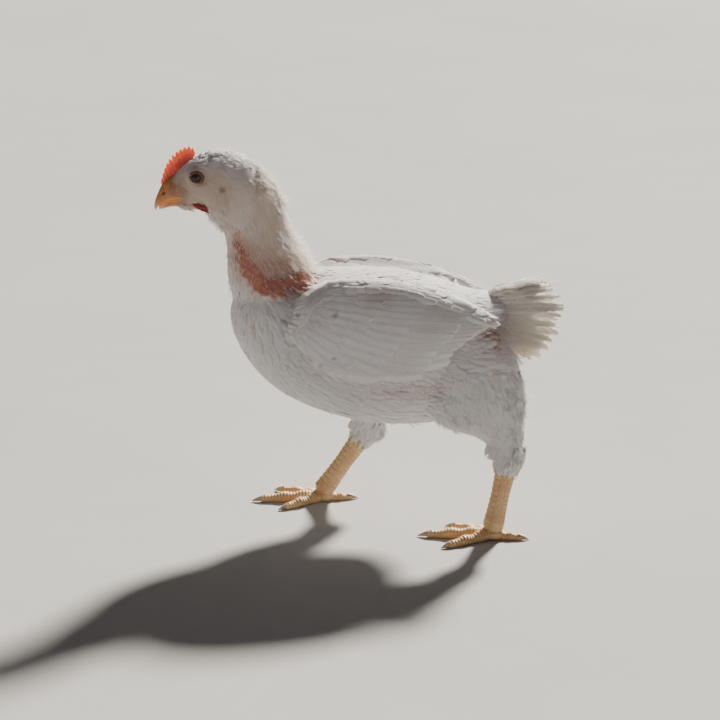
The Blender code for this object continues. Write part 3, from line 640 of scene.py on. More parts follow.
@dataclass(frozen=True)
class HornFinish(Finish):
    """Horn of bill and claws: yellow, streaked along its growth, paler or browner at the tip."""

    base: Colour = (0.56, 0.225, 0.075)
    dark: Colour = (0.38, 0.14, 0.05)
    tip: Colour = (0.74, 0.45, 0.22)
    edge: Colour = (0.95, 0.38, 0.06)
    root: Colour = (0.36, 0.15, 0.06)
    roughness: float = 0.38

    def fixed(self) -> dict[str, object]:
        """A thin gloss over horn that lets some light in."""
        return {"Subsurface_Weight": 0.25, "Subsurface_Radius": (1.0, 0.5, 0.2),
                "Subsurface_Scale": 1.5 * MM, "Coat_Weight": 0.15, "Coat_Roughness": 0.3}

    def paint(self, graph: Graph, effects: Effects, place: Socket) -> tuple:
        """Growth rings over mottled horn, with its own root, tip and lip."""
        outer = graph.attribute("outer")
        mottle = self.mottled(graph, effects, place, 170.0, self.base, self.dark)
        rings = graph.math("SINE", graph.times(outer, 70.0))
        colour = graph.mix(graph.fit(rings, 0.2, 1.0, 0.0, 0.18), mottle, self.dark)
        colour = graph.mix(graph.fit(outer, 0.55, 1.0, 0.0, 0.8), colour, self.tip)
        colour = graph.mix(graph.fit(outer, 0.0, 0.34, 0.85, 0.0), colour, self.root)
        colour = graph.mix(graph.attribute("lip"), colour, self.edge)
        scratch = graph.noise(place, 1500.0, 4.0)
        rough = graph.fit(scratch, 0.3, 0.7, self.roughness - 0.08, self.roughness + 0.15)
        return colour, rough, graph.math("ADD", graph.times(rings, 0.35), scratch), 0.3, 0.12 * MM


@dataclass(frozen=True)
class ScaleFinish(Finish):
    """Scaled skin of the legs: pale yellow plates with darker, pinker seams."""

    name: str = "leg_scale"
    plate: Colour = (0.80, 0.60, 0.31)
    warm: Colour = (0.68, 0.41, 0.21)
    seam: Colour = (0.38, 0.19, 0.10)

    def fixed(self) -> dict[str, object]:
        """A little light through the scales."""
        return {"Subsurface_Weight": 0.15, "Subsurface_Radius": (1.0, 0.5, 0.25),
                "Subsurface_Scale": 2 * MM, "Specular_IOR_Level": 0.45}

    def paint(self, graph: Graph, effects: Effects, place: Socket) -> tuple:
        """Pale plates, with dark seams between them and painted shade, in the warm colour, in the low places
        of the pores.
        """
        mottle = self.mottled(graph, effects, place, 70.0, self.plate, self.warm)
        pores = graph.group(effects.pores, Place=place, Cells=650.0, Wrinkles=700.0)
        # Painted shade: the low places of the pores turn to the warm colour.
        colour = graph.mix(graph.times(pores["CreaseShade"], 0.4), mottle, self.warm)
        colour = graph.mix(graph.fit(graph.attribute("seam"), 0.1, 0.9, 0.0, 0.9), colour, self.seam)
        return colour, graph.fit(pores["Height"], 0.2, 0.8, 0.6, 0.4), pores["Height"], 0.35, 0.2 * MM


@dataclass(frozen=True)
class EyeFinish(Finish):
    """A glossy eye: black pupil, brown iris with fine rays, dark rim."""

    name: str = "eye"
    pupil: Colour = (0.006, 0.005, 0.005)
    iris: Colour = (0.05, 0.02, 0.010)
    iris_light: Colour = (0.12, 0.05, 0.02)
    white: Colour = (0.04, 0.025, 0.02)

    def fixed(self) -> dict[str, object]:
        """A clear gloss."""
        return {"Roughness": 0.2, "Coat_Weight": 0.3, "Coat_Roughness": 0.04, "Specular_IOR_Level": 0.2}

    def paint(self, graph: Graph, effects: Effects, place: Socket) -> tuple:
        """Pupil, iris and rim by the angle from the line of sight."""
        angle = graph.attribute("angle")
        rays = self.mottled(graph, effects, place, 900.0, self.iris_light, self.iris)
        colour = graph.mix(graph.fit(angle, 0.38, 0.44), self.pupil, rays)
        return (graph.mix(graph.fit(angle, 0.66, 0.78), colour, self.white),)


@dataclass(frozen=True)
class FloorFinish(Finish):
    """A plain pale floor."""

    name: str = "floor"
    light: Colour = (0.47, 0.461, 0.447)
    dark: Colour = (0.445, 0.437, 0.424)

    def fixed(self) -> dict[str, object]:
        """A dull surface."""
        return {"Roughness": 0.8, "Specular_IOR_Level": 0.2}

    def paint(self, graph: Graph, effects: Effects, place: Socket) -> tuple:
        """Nearly even, in broad patches."""
        return (self.mottled(graph, effects, place, 2.0, self.light, self.dark),)


def midline(rows: Array) -> Array:
    """Places in the middle plane, from rows that start with x and z."""
    return np.stack([rows[:, 0], 0 * rows[:, 0], rows[:, 1]], 1)


def thinned(radii: Array, depth: Array | float) -> Array:
    """Radii with the coat's depth taken off, but never less than a part of them."""
    return np.maximum(radii - depth, 0.3 * radii)


@dataclass
class Body:
    """The closed forms of flesh. The tables are the solids' own, and the depth of the coat is taken off."""

    # x, height of the centre, half width, half depth above and below it.
    trunk_rows: Array = table(
        (-104, 174, 0, 0, 0), (-98, 172, 26, 23, 22), (-83, 167, 42, 38, 39), (-64, 161, 50, 47, 50),
        (-40, 156, 56, 54, 57), (0, 150, 59, 60, 63), (36, 147, 58, 61, 63), (66, 145, 53, 56, 58),
        (90, 149, 44, 45, 47), (106, 158, 33, 34, 34), (118, 166, 20, 24, 20), (126, 171, 0, 0, 0))
    trunk_depth: float = 2.7 * MM
    # Share of the table's length that the flesh takes up.
    trunk_length: float = 0.97
    # x, z, half width, half depth to the nape and to the throat, depth of the coat.
    neck_rows: Array = table(
        (-50, 173, 46, 40, 40, 2.7), (-70, 207, 35.5, 31.5, 36, 2.8), (-81, 240, 26, 27, 25.8, 2.5),
        (-87, 256, 23, 29.8, 26.5, 2.2), (-95.5, 269, 21.5, 28.9, 28, 1.8),
        (-107, 278.5, 20.3, 26.3, 25.5, 1.3), (-120.5, 281.7, 18.6, 22.2, 20.5, 1.1),
        (-133, 279.6, 15.2, 15.2, 18.6, 0.8), (-142, 275.8, 11.2, 9.4, 13.6, 0.6),
        (-147.5, 272.6, 7.4, 6, 9.2, 0.5), (-151, 270.6, 0, 0, 0, 0))
    # x, distance from the middle, z, half depth fore and aft, half width, depth of the coat.
    thigh_rows: dict[Side, Array] = field(default_factory=lambda: {
        Side.LEFT: rows_mm(
            (60, 22, 166, 0, 0, 0), (64, 27, 160, 24, 14, 2.6), (76, 34, 143, 42, 20, 2.8),
            (90, 38, 124, 43, 21, 3), (104, 42, 107, 33, 18.5, 2.8), (113, 44.5, 91, 19.5, 14, 2),
            (118, 45.5, 78, 12.6, 11, 1.2), (120, 46, 70, 0, 0, 0)),
        Side.RIGHT: rows_mm(
            (-24, 22, 160, 0, 0, 0), (-22, 27, 153, 24, 14, 2.6), (-16, 34, 135, 40, 20, 2.8),
            (-8, 38.5, 116, 36, 20.5, 3), (1, 42.5, 99, 27, 18, 2.8), (7, 44.5, 84, 17, 13.5, 2),
            (9, 45.5, 72, 12, 11, 1.2), (10, 46, 64, 0, 0, 0))})
    # Middle of the hock and of the foot.
    legs: dict[Side, Array] = field(default_factory=lambda: {
        Side.LEFT: rows_mm((119, -46, 71), (107, -46, 10)), Side.RIGHT: rows_mm((9, 46, 65), (-29, 46, 10))})
    # x, lower and upper edge in the plan of the wing, thickness of the arm.
    arm_rows: Array = table(
        (-53, 16, 30, 1), (-42, 5, 52, 5), (-22, -4, 66, 7), (6, -8, 70, 6.5), (36, -8, 69, 4.5),
        (64, 2, 64, 3.2), (86, 17, 55, 2.2), (101, 30, 46, 1))
    arm_depth: float = 2.4 * MM
    arm_sunk: float = 9 * MM
    # Where the wing turns down to the back, and how far it goes below the flank's form there.
    ridge: float = 60 * MM
    ridge_drop: float = 6.5 * MM
    # x, height of the centre, half width, half depth above and below it, of the flesh in the tail.
    tail_rows: Array = table(
        (84, 170, 0, 0, 0), (94, 172, 20, 15, 17), (106, 175, 16.5, 11, 14), (119, 178, 11, 7.5, 10),
        (127, 180, 6, 4, 6), (132, 181, 0, 0, 0))
    wing_level: float = 152 * MM
    wing_arc: float = 60 * MM
    squareness: float = 2.3

    def section(self, centre: Array, across: Array, above: Array, radii: Array, squareness: float,
                segments: int) -> Array:
        """Rings of superelliptic cross sections.

        Args:
            centre: Middle of each ring.
            across: Direction of each ring's width, or of all.
            above: Direction of each ring's upper half, or of all.
            radii: Half width, half depth above and below of each ring.
            squareness: Exponent of the outline, 2 for an ellipse.
            segments: Points of a ring.

        Returns:
            Array of rings, points and coordinates.
        """
        angle = circle(segments)
        wide, deep = (np.sign(a) * np.abs(a) ** (2 / squareness) for a in (np.cos(angle), np.sin(angle)))
        depth = np.where(np.sin(angle)[None, :] > 0, radii[:, 1:2], radii[:, 2:3]) * deep[None, :]
        width = radii[:, 0:1] * wide[None, :]
        across, above = (np.broadcast_to(a, centre.shape)[:, None] for a in (across, above))
        return centre[:, None] + across * width[..., None] + above * depth[..., None]

    def trunk(self) -> Form:
        """The trunk under its coat."""
        rows = smooth_rows(self.trunk_rows, 40)
        centre = midline(rows) * (self.trunk_length, 1, 1)
        flesh = thinned(rows[:, 2:], self.trunk_depth)
        return Form.loft(self.section(centre, Y, Z, flesh, self.squareness, 56))

    def tail_root(self) -> Form:
        """The flesh that the tail's feathers stand in."""
        rows = smooth_rows(self.tail_rows, 24)
        return Form.loft(self.section(midline(rows), Y, Z, rows[:, 2:], 2.0, 40))

    def neck_axis(self, count: int = 60) -> tuple[Array, Array, Array]:
        """Places, directions and radii of neck and head, with the coat's depth in the last column."""
        rows = smooth_rows(self.neck_rows, count)
        centre = midline(rows)
        return centre, unit(np.gradient(centre, axis=0)), rows[:, 2:]

    def neck_head(self) -> Form:
        """Neck and head under their coat."""
        centre, along, radii = self.neck_axis()
        above = np.stack([along[:, 2], 0 * along[:, 0], -along[:, 0]], 1)
        return Form.loft(self.section(centre, Y, above, thinned(radii[:, :3], radii[:, 3:]), 2.1, 56))

    def thigh_axis(self, side: Side, count: int = 34) -> tuple[Array, Array, Array]:
        """Places, directions and radii of a thigh, with the coat's depth in the last column."""
        rows = smooth_rows(self.thigh_rows[side], count, places=3)
        centre = rows[:, :3] * (1, side.value, 1)
        return centre, unit(np.gradient(centre, axis=0)), rows[:, 3:]

    def thigh(self, side: Side) -> Form:
        """A thigh under its coat."""
        centre, along, radii = self.thigh_axis(side)
        fore_aft = unit(np.stack([-along[:, 2], 0 * along[:, 0], along[:, 0]], 1))
        flesh = thinned(radii[:, :2], radii[:, 2:])[:, [0, 1, 1]]
        return Form.loft(self.section(centre, fore_aft, Y, flesh, 2.1, 44))

    def _flank(self, x: Array) -> tuple[Array, Array]:
        """Half width and half depth of the flank's smooth form."""
        return (63 * MM - 19 * MM * ((x - 15 * MM) / (100 * MM)) ** 2,
                62 * MM - 20 * MM * ((x + 5 * MM) / (110 * MM)) ** 2)

    def wing_point(self, side: Side, x: Array, s: Array, lift: Array) -> Array:
        """Places of points of the wing's plan over the smooth form of the flank.

        Args:
            side: Which wing.
            x: Place along the body.
            s: Distance round the flank, upwards from the wing's level.
            lift: Height over the flank's form.

        Returns:
            The places, one to a row.
        """
        half_width, half_depth = self._flank(x)
        c, k = np.cos(s / self.wing_arc), np.sin(s / self.wing_arc)
        y = half_width * np.sign(c) * np.abs(c) ** (2 / self.squareness)
        z = half_depth * np.sign(k) * np.abs(k) ** (2 / self.squareness)
        normal = unit(np.stack([0 * x, c / half_width, k / half_depth], -1))
        tuck = np.clip((14 * MM - s) / (26 * MM), 0, 1)
        over = ease(s, self.ridge, self.ridge + 12 * MM)
        lift = lift * (1 - 0.5 * tuck) * (1 - over) - over * self.ridge_drop
        place = np.stack([x, y, self.wing_level + z], -1) + normal * lift[..., None]
        return place * (1, side.value, 1)

    def wing_plan(self, points: Array) -> tuple[Array, Array]:
        """Where points of the flank lie in the wing's plan: along the body and round the flank."""
        x, _, z = points.T
        share = np.clip((z - self.wing_level) / self._flank(x)[1], -1, 1)
        return x, np.arcsin(np.sign(share) * np.abs(share) ** (self.squareness / 2)) * self.wing_arc

    def arm_height(self, x: Array, s: Array) -> Array:
        """How high the flesh of the wing stands over the flank's form at points of the plan."""
        rows = self.arm_rows
        low, high, thick = columns_at(rows, x, 1, 2, 3)
        v = np.clip((s - low) / (high - low), 0, 1)
        inside = (x > rows[0, 0]) & (x < rows[-1, 0])
        return np.where(inside, np.maximum(thick - self.arm_depth, 0) * np.sin(math.pi * v) ** 0.7, 0)

    def wing_arm(self, side: Side) -> Form:
        """The fleshy arm of a wing, a low dome laid along the flank."""
        rings = []
        for x, low, high, thickness in smooth_rows(self.arm_rows, 26, places=4):
            thickness = max(thickness - self.arm_depth, 0.2 * MM)
            v = np.linspace(0, 1, 16)
            top = self.wing_point(side, np.full(16, x), low + (high - low) * v,
                                  -0.6 * MM + thickness * np.sin(math.pi * v) ** 0.7)
            v = np.linspace(0.95, 0.05, 7)
            inner = self.wing_point(side, np.full(7, x), low + (high - low) * v, np.full(7, -self.arm_sunk))
            rings.append(np.vstack([top, inner]))
        return Form.loft(np.array(rings))


@dataclass
class Markings:
    """Colours and bare patches that skin and coat share, as masks over places on the bird."""

    # Bare skin at the base of the neck, from the front of the neck to the shoulder: x, z, half width.
    neck_patch: Array = table(
        (-95, 234, 3), (-89, 222, 6), (-82, 211, 8.5), (-70, 204, 9), (-57, 203, 8), (-44, 207, 8),
        (-31, 213, 5))
    # Other bare patches: x, z, half length, half height.
    patches: Array = table((104, 165, 6.5, 10), (38, 125, 30, 8))
    patch_strengths: tuple[float, ...] = (0.85, 0.3)
    # Strength of the pink round the first patch, and where it starts and stops to fade.
    patch_halo: Point = (0.45, 0.5, 2.4)
    halo_rise: float = 10 * MM
    # Brown at lores, cheek, brow and the whole face, and how strong it is and where it fades.
    face_spots: Array = table(
        (-146, 273, 22, 16), (-130, 267, 18, 6), (-126, 286.5, 11, 8.5), (-123, 276, 30, 19))
    face_fades: tuple[Point, ...] = ((1.0, 0.3, 1.25), (0.6, 0.4, 1.2), (0.7, 0.5, 1.25), (0.5, 0.5, 1.25))
    # Specks of soil: x, z, radius.
    specks: Array = table(
        (-47, 185.5, 2.6), (-18, 188, 2.4), (-38, 152, 2.8), (-30, 149, 2.2), (-20, 155, 1.8))
    blush: Array = field(default_factory=lambda: rows_mm((16, 199, 14.4, 9))[0])
    ragged: float = 0.35

    def _spot(self, points: Array, spot: Array, uneven: Array, near: float, far: float) -> Array:
        """A spot that fades between two distances from its middle, with 1 at its edge."""
        x, z, half_x, half_z = spot
        reach = np.hypot((points[:, 0] - x) / half_x, (points[:, 2] - z) / half_z)
        return 1 - ease(reach + uneven, near, far)

    def _strip(self, points: Array, rise: float = 0.0) -> Array:
        """Distance from the middle of the bare strip, raised by some way, with 1 at its edge."""
        line = smooth_rows(self.neck_patch, 30)
        flat = points[:, None, [0, 2]] - line[None, :, :2] - (0, rise)
        return (np.linalg.norm(flat, axis=2) / line[None, :, 2]).min(1)

    def bare(self, points: Array) -> Array:
        """How bare the skin is at places, from 0 to 1."""
        uneven = self.ragged * ripple(points, 11 * MM, 1.0) + 0.5 * self.ragged * ripple(points, 4 * MM, 2.0)
        found = 1 - ease(self._strip(points) + uneven, 0.7, 1.2)
        found = found * ease(np.abs(points[:, 1]), 7 * MM, 18 * MM)
        for patch, strength in zip(self.patches, self.patch_strengths):
            found = np.maximum(found, self._spot(points, patch, uneven, 0.75, 1.15) * strength)
        return found

    def masks(self, points: Array) -> dict[str, Array]:
        """All masks at places.

        Args:
            points: Places on the bird, one to a row.

        Returns:
            Each mask's value at each place.
        """
        x, y, z = points.T
        soft = 0.1 * ripple(points, 9 * MM, 3.0)
        face = np.max([strength * self._spot(points, spot, soft, near, far)
                       for spot, (strength, near, far) in zip(self.face_spots, self.face_fades)], axis=0)
        neck = ease(z, 200 * MM, 225 * MM) * (1 - ease(z, 286 * MM, 302 * MM))
        nape = ease(x, -95 * MM, -70 * MM)
        warm = np.clip(neck * (0.58 + 0.34 * nape) + 0.25 * ripple(points, 14 * MM, 4.0) * neck, 0, 1)
        edge = 0.5 * ripple(points, 3 * MM, 5.0)
        soil = np.max([self._spot(points, speck[[0, 1, 2, 2]], edge, 0.3, 1.1)
                       for speck in self.specks], axis=0)
        blush = 0.55 * self._spot(points, self.blush, soft, 0.3, 1.2)
        halo = 0.8 * (1 - ease(self._strip(points, self.halo_rise) + 2 * soft, 0.4, 2.9))
        halo = halo * ease(np.abs(y), 2 * MM, 14 * MM)
        most, near, far = self.patch_halo
        halo = np.maximum(halo, most * self._spot(points, self.patches[0], 2 * soft, near, far))
        bare = self.bare(points)
        return {"face": face, "warm": warm, "bare": bare,
                "blush": np.maximum(np.maximum(blush, halo), 0.95 * bare), "soil": soil}


@dataclass
class Skin:
    """One skin over trunk, neck, head, thighs and wing arms, with lids, ears and folds."""

    body: Body
    markings: Markings
    voxel: float = 1.8 * MM
    smoothing: int = 7
    eye: Point = (-126 * MM, 13 * MM, 286.9 * MM)
    eye_radius: float = 5.1 * MM
    lid_length: float = 5.5 * MM
    lid_height: float = 4.6 * MM
    lid_tilt: float = 14.0
    lid_open: float = 1.06
    lid_plane: float = 16.0 * MM
    ear: Point = (-105.5 * MM, 19 * MM, 279.5 * MM)
    ear_size: float = 3.6 * MM
    lobe_drop: float = 6.6 * MM
    mouth: Point = (-134 * MM, 8 * MM, 265.5 * MM)
    chin: Point = (-134 * MM, 0.0, 262.5 * MM)
    chin_radii: Point = (9.5 * MM, 7.6 * MM, 4.6 * MM)
    # x and z where the groove behind the ear starts and ends.
    groove: tuple[float, ...] = (-105 * MM, 283 * MM, -101 * MM, 263 * MM)
    hock_radii: Point = (12.4 * MM, 10.4 * MM, 12.4 * MM)
    # How far round the hock the thigh's coat goes.
    hock_reach: float = 15 * MM
    tree: BVHTree | None = None
    points: Array | None = None
    triangles: Array | None = None
    normals: Array | None = None

    def eye_reach(self, points: Array) -> tuple[Array, Array]:
        """How far places are from the eyes.

        Args:
            points: Places on the head.

        Returns:
            Distance in widths of the lids, and plain distance, both seen from the side.
        """
        turn = math.radians(self.lid_tilt)
        dx, dz = points[:, 0] - self.eye[0], points[:, 2] - self.eye[2]
        u = dx * math.cos(turn) - dz * math.sin(turn)
        v = dx * math.sin(turn) + dz * math.cos(turn)
        return np.hypot(u / self.lid_length, v / self.lid_height), np.hypot(dx, dz)

    def _lids(self, points: Array) -> tuple[Array, Array]:
        """Moves the skin round the eyes into lids and sockets.

        Args:
            points: The skin's points.

        Returns:
            The points moved, and how much each belongs to a lid.
        """
        reach, plain = self.eye_reach(points)
        reach = np.maximum(reach, 0.02) * self.lid_open
        near = (reach < 2.0) & (np.abs(points[:, 1]) > 6 * MM)
        globe = self.eye[1] + np.sqrt(np.maximum(self.eye_radius**2 - plain**2, 0)) - 1.2 * MM
        lids = self.lid_plane + np.interp(reach, (0.66, 0.76, 0.86, 0.98, 1.1, 1.22, 1.36, 1.6),
                                          np.array((0.2, 1.0, 1.5, 1.45, 0.75, -0.1, -0.25, 0.0)) * MM)
        height = np.where(reach < 0.66, np.minimum(globe, self.lid_plane - 0.4 * MM), lids)
        edge = np.interp(reach, (0.66, 0.70), (0.0, 1.0))
        height = np.where((reach >= 0.66) & (reach < 0.70), globe * (1 - edge) + lids * edge, height)
        weight = np.where(near, 1 - ease(reach, 1.25, 1.95), 0)
        moved = points.copy()
        moved[:, 1] += weight * (np.sign(points[:, 1]) * height - points[:, 1])
        return moved, np.where(near, ease(reach, 0.6, 0.75) * (1 - ease(reach, 1.1, 1.4)), 0)

    def _folds(self, points: Array, normals: Array) -> Array:
        """Moves the skin into ears, lobes and the folds of the face and neck.

        Args:
            points: The skin's points.
            normals: Their normals.

        Returns:
            The points moved.
        """
        x, y, z = points.T
        outer = np.abs(y) > 6 * MM
        ear = np.hypot(x - self.ear[0], (z - self.ear[2]) / 1.15) / self.ear_size
        rim = 0.35 * MM * np.exp(-((ear - 1) / 0.3) ** 2)
        move = np.where(outer, rim - 1.1 * MM * (1 - ease(ear, 0.2, 0.9)), 0)
        x0, z0, x1, z1 = self.groove
        share = np.clip((z - z0) / (z1 - z0), 0, 1)
        gap = np.hypot(x - x0 - (x1 - x0) * share, z - z0 - (z1 - z0) * share) / (1.9 * MM)
        move -= np.where(outer, 1.5 * MM * np.exp(-gap**2), 0)
        lobe = np.hypot((x - self.ear[0]) / (3.2 * MM), (z - (self.ear[2] - self.lobe_drop)) / (4.4 * MM))
        move += np.where(outer, 1.3 * MM * np.sqrt(np.maximum(1 - lobe**2, 0)), 0)
        corner = np.hypot((x - self.mouth[0]) / (5 * MM), (z - self.mouth[2]) / (2.2 * MM))
        move += np.where(outer | (x < -125 * MM), 0.9 * MM * np.exp(-corner**2), 0)
        cheek = np.sin((z - x * 0.5) * 2 * math.pi / (2.6 * MM))
        below = np.hypot((x + 131 * MM) / (9 * MM), (z - 274 * MM) / (6 * MM))
        move += 0.12 * MM * cheek * np.exp(-below**2)
        run = x * 0.5 + z + 1.2 * MM * ripple(points, 16 * MM, 6.0)
        folds = np.sin(run * 2 * math.pi / (5.5 * MM)) + 0.6 * ripple(points, 4 * MM, 7.0)
        move += self.markings.bare(points) * (0.28 * MM * folds + 1.1 * MM)
        return points + normals * move[:, None]

    def build(self, shop: Workshop) -> Object:
        """Makes the skin and the tree that feathers are laid on.

        Args:
            shop: Makes objects.

        Returns:
            The skin.
        """
        forms = [self.body.trunk(), self.body.neck_head(), self.body.tail_root()]
        forms.append(ball(self.chin, self.chin_radii, 32, 24))
        for side in Side:
            hock = self.body.legs[side][0] - (0, 0, 1.5 * MM)
            forms += [self.body.thigh(side), self.body.wing_arm(side), ball(hock, self.hock_radii, 32, 24)]
        obj = shop.fused("skin", forms, self.voxel, self.smoothing)
        self._refine(obj, lambda p: (p[0] < -92 * MM) & (p[2] > 252 * MM), 4)
        self._refine(obj, lambda p: (p[0] < -116 * MM) & (p[2] > 255 * MM), 3)
        mesh = obj.data
        points, lid = self._lids(self._folds(*shop.read(mesh)))
        shop.place(mesh, points)
        mesh.update()
        masks = self.markings.masks(points)
        shop.store(mesh, {"bare": masks["bare"], "face": masks["face"], "lid": lid})
        mesh.calc_loop_triangles()
        triangles = np.zeros(len(mesh.loop_triangles) * 3, np.int32)
        mesh.loop_triangles.foreach_get("vertices", triangles)
        self.points, self.normals = shop.read(mesh)
        self.triangles = triangles.reshape(-1, 3)
        self.tree = BVHTree.FromPolygons(self.points.tolist(), self.triangles.tolist())
        return obj

    def _refine(self, obj: Object, inside: Callable, smoothing: int) -> None:
        """Splits the faces of a part of the skin in four, and smooths them.

        Args:
            obj: The skin.
            inside: Says whether a place belongs to the part.
            smoothing: How often the new points are smoothed.
        """
        shape = bmesh.new()
        shape.from_mesh(obj.data)
        edges = [e for e in shape.edges if all(inside(v.co) for v in e.verts)]
        bmesh.ops.subdivide_edges(shape, edges=edges, cuts=1, use_grid_fill=True)
        for _ in range(smoothing):
            verts = [v for v in shape.verts if inside(v.co)]
            bmesh.ops.smooth_vert(shape, verts=verts, factor=0.5, use_axis_x=True, use_axis_y=True,
                                  use_axis_z=True)
        shape.to_mesh(obj.data)
        shape.free()

    def faces(self) -> tuple[Array, Array, Array]:
        """Corners, areas and middles of the skin's triangles."""
        corners = self.points[self.triangles]
        sides = corners[:, 1:] - corners[:, :1]
        return corners, np.linalg.norm(np.cross(sides[:, 0], sides[:, 1]), axis=1) / 2, corners.mean(1)

    def nearest(self, points: Array) -> tuple[Array, Array]:
        """The nearest places on the skin, and the outward direction there."""
        places, outward = np.empty_like(points), np.empty_like(points)
        for i, point in enumerate(points.tolist()):
            places[i], _, index, _ = self.tree.find_nearest(point)
            outward[i] = self.normals[self.triangles[index]].mean(0)
        return places, unit(outward)

    def zones(self, points: Array) -> Array:
        """The zone of the coat that each place belongs to."""
        x, y, z = points.T
        level, wide, up, down = columns_at(self.body.trunk_rows, x, 1, 2, 3, 4)
        deep = np.where(z - level > 0, up, down)
        wide, deep = np.maximum(wide, 3 * MM), np.maximum(deep, 3 * MM)
        value = np.abs(y / wide) ** 2.3 + np.abs((z - level) / deep) ** 2.3
        found = np.full(len(points), Zone.TRUNK.value)
        top = 141 * MM + 6 * MM * ripple(points, 13 * MM, 8.0) + 3 * MM * ripple(points, 5 * MM, 9.0)
        for side, zone in THIGH_ZONES:
            centre, _, radii = self.body.thigh_axis(side)
            gap = np.linalg.norm(points[:, None] - centre[None], axis=2)
            close = (gap - radii[None, :, 0]).min(1) < 4 * MM
            close |= np.linalg.norm(points - self.body.legs[side][0], axis=1) < self.hock_reach
            found[close & (value > 1.0) & (z < top) & (y * side.value > 0)] = zone.value
        up = z - (205 * MM - 0.6 * (x + 70 * MM))
        found[(up > 0) & (x < -30 * MM)] = Zone.NECK_HEAD.value
        return found


@dataclass
class CoatPlan:
    """Lie, size and spacing of the body's feathers, blended between a few places.

    A row has x and z of the place and its reach, the direction of the lie in x and z, then length,
    half width and height of a feather, the distance to the next one and the roundness of the body.
    """

    trunk: tuple[tuple[float, ...], ...] = (
        (-150, 272, 7, 0.9, 0.2, 2.4, 0.7, 0.5, 1.25, 10),
        (-140, 291, 7, 0.95, 0.3, 2.8, 0.8, 0.7, 1.35, 12),
        (-138, 264, 7, 0.8, -0.5, 2.8, 0.8, 0.7, 1.4, 10),
        (-126, 284, 9, 1.0, -0.1, 3.0, 0.85, 0.7, 1.4, 16),
        (-120, 302, 8, 1.0, -0.05, 4.2, 1.2, 1.1, 1.7, 16),
        (-106, 292, 9, 0.95, -0.35, 4.6, 1.4, 1.4, 1.9, 18),
        (-108, 272, 9, 0.7, -0.7, 4.2, 1.3, 1.1, 1.8, 18),
        (-120, 261, 8, 0.5, -0.85, 4.4, 1.3, 1.3, 1.9, 16),
        (-82, 276, 10, 0.5, -0.85, 6.5, 1.8, 2.2, 2.3, 20),
        (-70, 252, 12, 0.3, -0.95, 8.5, 2.2, 3.0, 2.7, 22),
        (-104, 246, 12, 0.15, -0.98, 7.5, 2.1, 2.4, 2.6, 22),
        (-58, 222, 12, 0.45, -0.9, 10, 2.8, 3.4, 3.1, 26),
        (-96, 215, 14, 0.12, -0.99, 11, 3.0, 3.4, 3.3, 28),
        (-101, 180, 16, 0.08, -1.0, 15, 4.4, 3.8, 4.3, 30),
        (-80, 150, 18, 0.45, -0.9, 19, 5.4, 4.0, 5.1, 42), (-50, 112, 20, 0.9, -0.45, 20, 5.8, 4.2, 5.4, 50),
        (0, 90, 25, 1.0, -0.05, 20, 6.0, 4.4, 5.6, 55), (50, 90, 22, 1.0, 0.1, 18, 5.6, 5.0, 5.4, 50),
        (92, 118, 18, 0.95, 0.25, 16, 5.0, 5.4, 4.7, 40), (-40, 200, 18, 0.9, -0.45, 15, 4.8, 3.4, 4.4, 45),
        (0, 205, 22, 1.0, -0.1, 21, 5.8, 3.8, 5.2, 45), (50, 200, 22, 1.0, -0.05, 21, 5.8, 3.8, 5.2, 45),
        (92, 195, 16, 1.0, 0.12, 18, 5.2, 3.8, 4.8, 35), (0, 150, 25, 1.0, -0.35, 21, 5.8, 3.8, 5.4, 55),
        (60, 150, 22, 1.0, -0.2, 20, 5.6, 4.0, 5.2, 50), (118, 182, 10, 1.0, 0.2, 14, 4.6, 4.0, 4.2, 14),
        (120, 168, 10, 1.0, -0.25, 14, 4.6, 5.0, 4.2, 14))
    left_thigh: tuple[tuple[float, ...], ...] = (
        (62, 134, 16, 0.45, -0.9, 16, 4.8, 4.2, 4.6, 30), (100, 128, 15, 0.4, -0.9, 15, 4.6, 4.8, 4.3, 30),
        (104, 104, 12, 0.4, -0.9, 13, 3.8, 4.2, 3.6, 20), (115, 88, 9, 0.2, -0.97, 12, 3.0, 3.0, 2.8, 14),
        (118, 76, 7, -0.05, -1.0, 14, 2.4, 2.4, 2.4, 12))
    # Height of the left thigh's hem.
    hem: float = 80 * MM
    right_offset: tuple[float, float] = (-93.0, -7.0)
    # Shares of the tables' length, half width, height and distance that are used.
    fineness: tuple[float, float, float, float] = (0.8, 0.54, 0.36, 0.52)

    def table(self, zone: Zone) -> Array:
        """The rows of a zone, in metres except for the directions."""
        if zone in (Zone.THIGH_LEFT, Zone.THIGH_RIGHT):
            rows = np.array(self.left_thigh, float)
            if zone is Zone.THIGH_RIGHT:
                rows[:, :2] += self.right_offset
        else:
            rows = np.array(self.trunk, float)
        scale = np.full(rows.shape[1], MM)
        scale[3:5] = 1
        return rows * scale

    def read(self, points: Array, zones: Array) -> dict[str, Array]:
        """Lie and sizes at places.

        Args:
            points: Places on the skin.
            zones: The zone of each.

        Returns:
            Direction of the lie and each size, by name.
        """
        blended = np.zeros((len(points), 7))
        for zone in Zone:
            here = zones == zone.value
            if not here.any():
                continue
            rows = self.table(zone)
            flat = points[here][:, None, [0, 2]] - rows[None, :, :2]
            reach = np.linalg.norm(flat, axis=2) / rows[None, :, 2]
            weight = np.exp(-0.5 * np.minimum(reach, 30) ** 2) + 1e-9 / (1 + reach**4)
            weight /= weight.sum(1, keepdims=True)
            blended[here] = weight @ rows[:, 3:]
        names = ("length", "half_width", "height", "spacing", "roundness")
        sizes = {n: size * share for n, size, share in zip(names, blended.T[2:], (*self.fineness, 1.0))}
        return {"lie": unit(midline(blended)), **sizes}


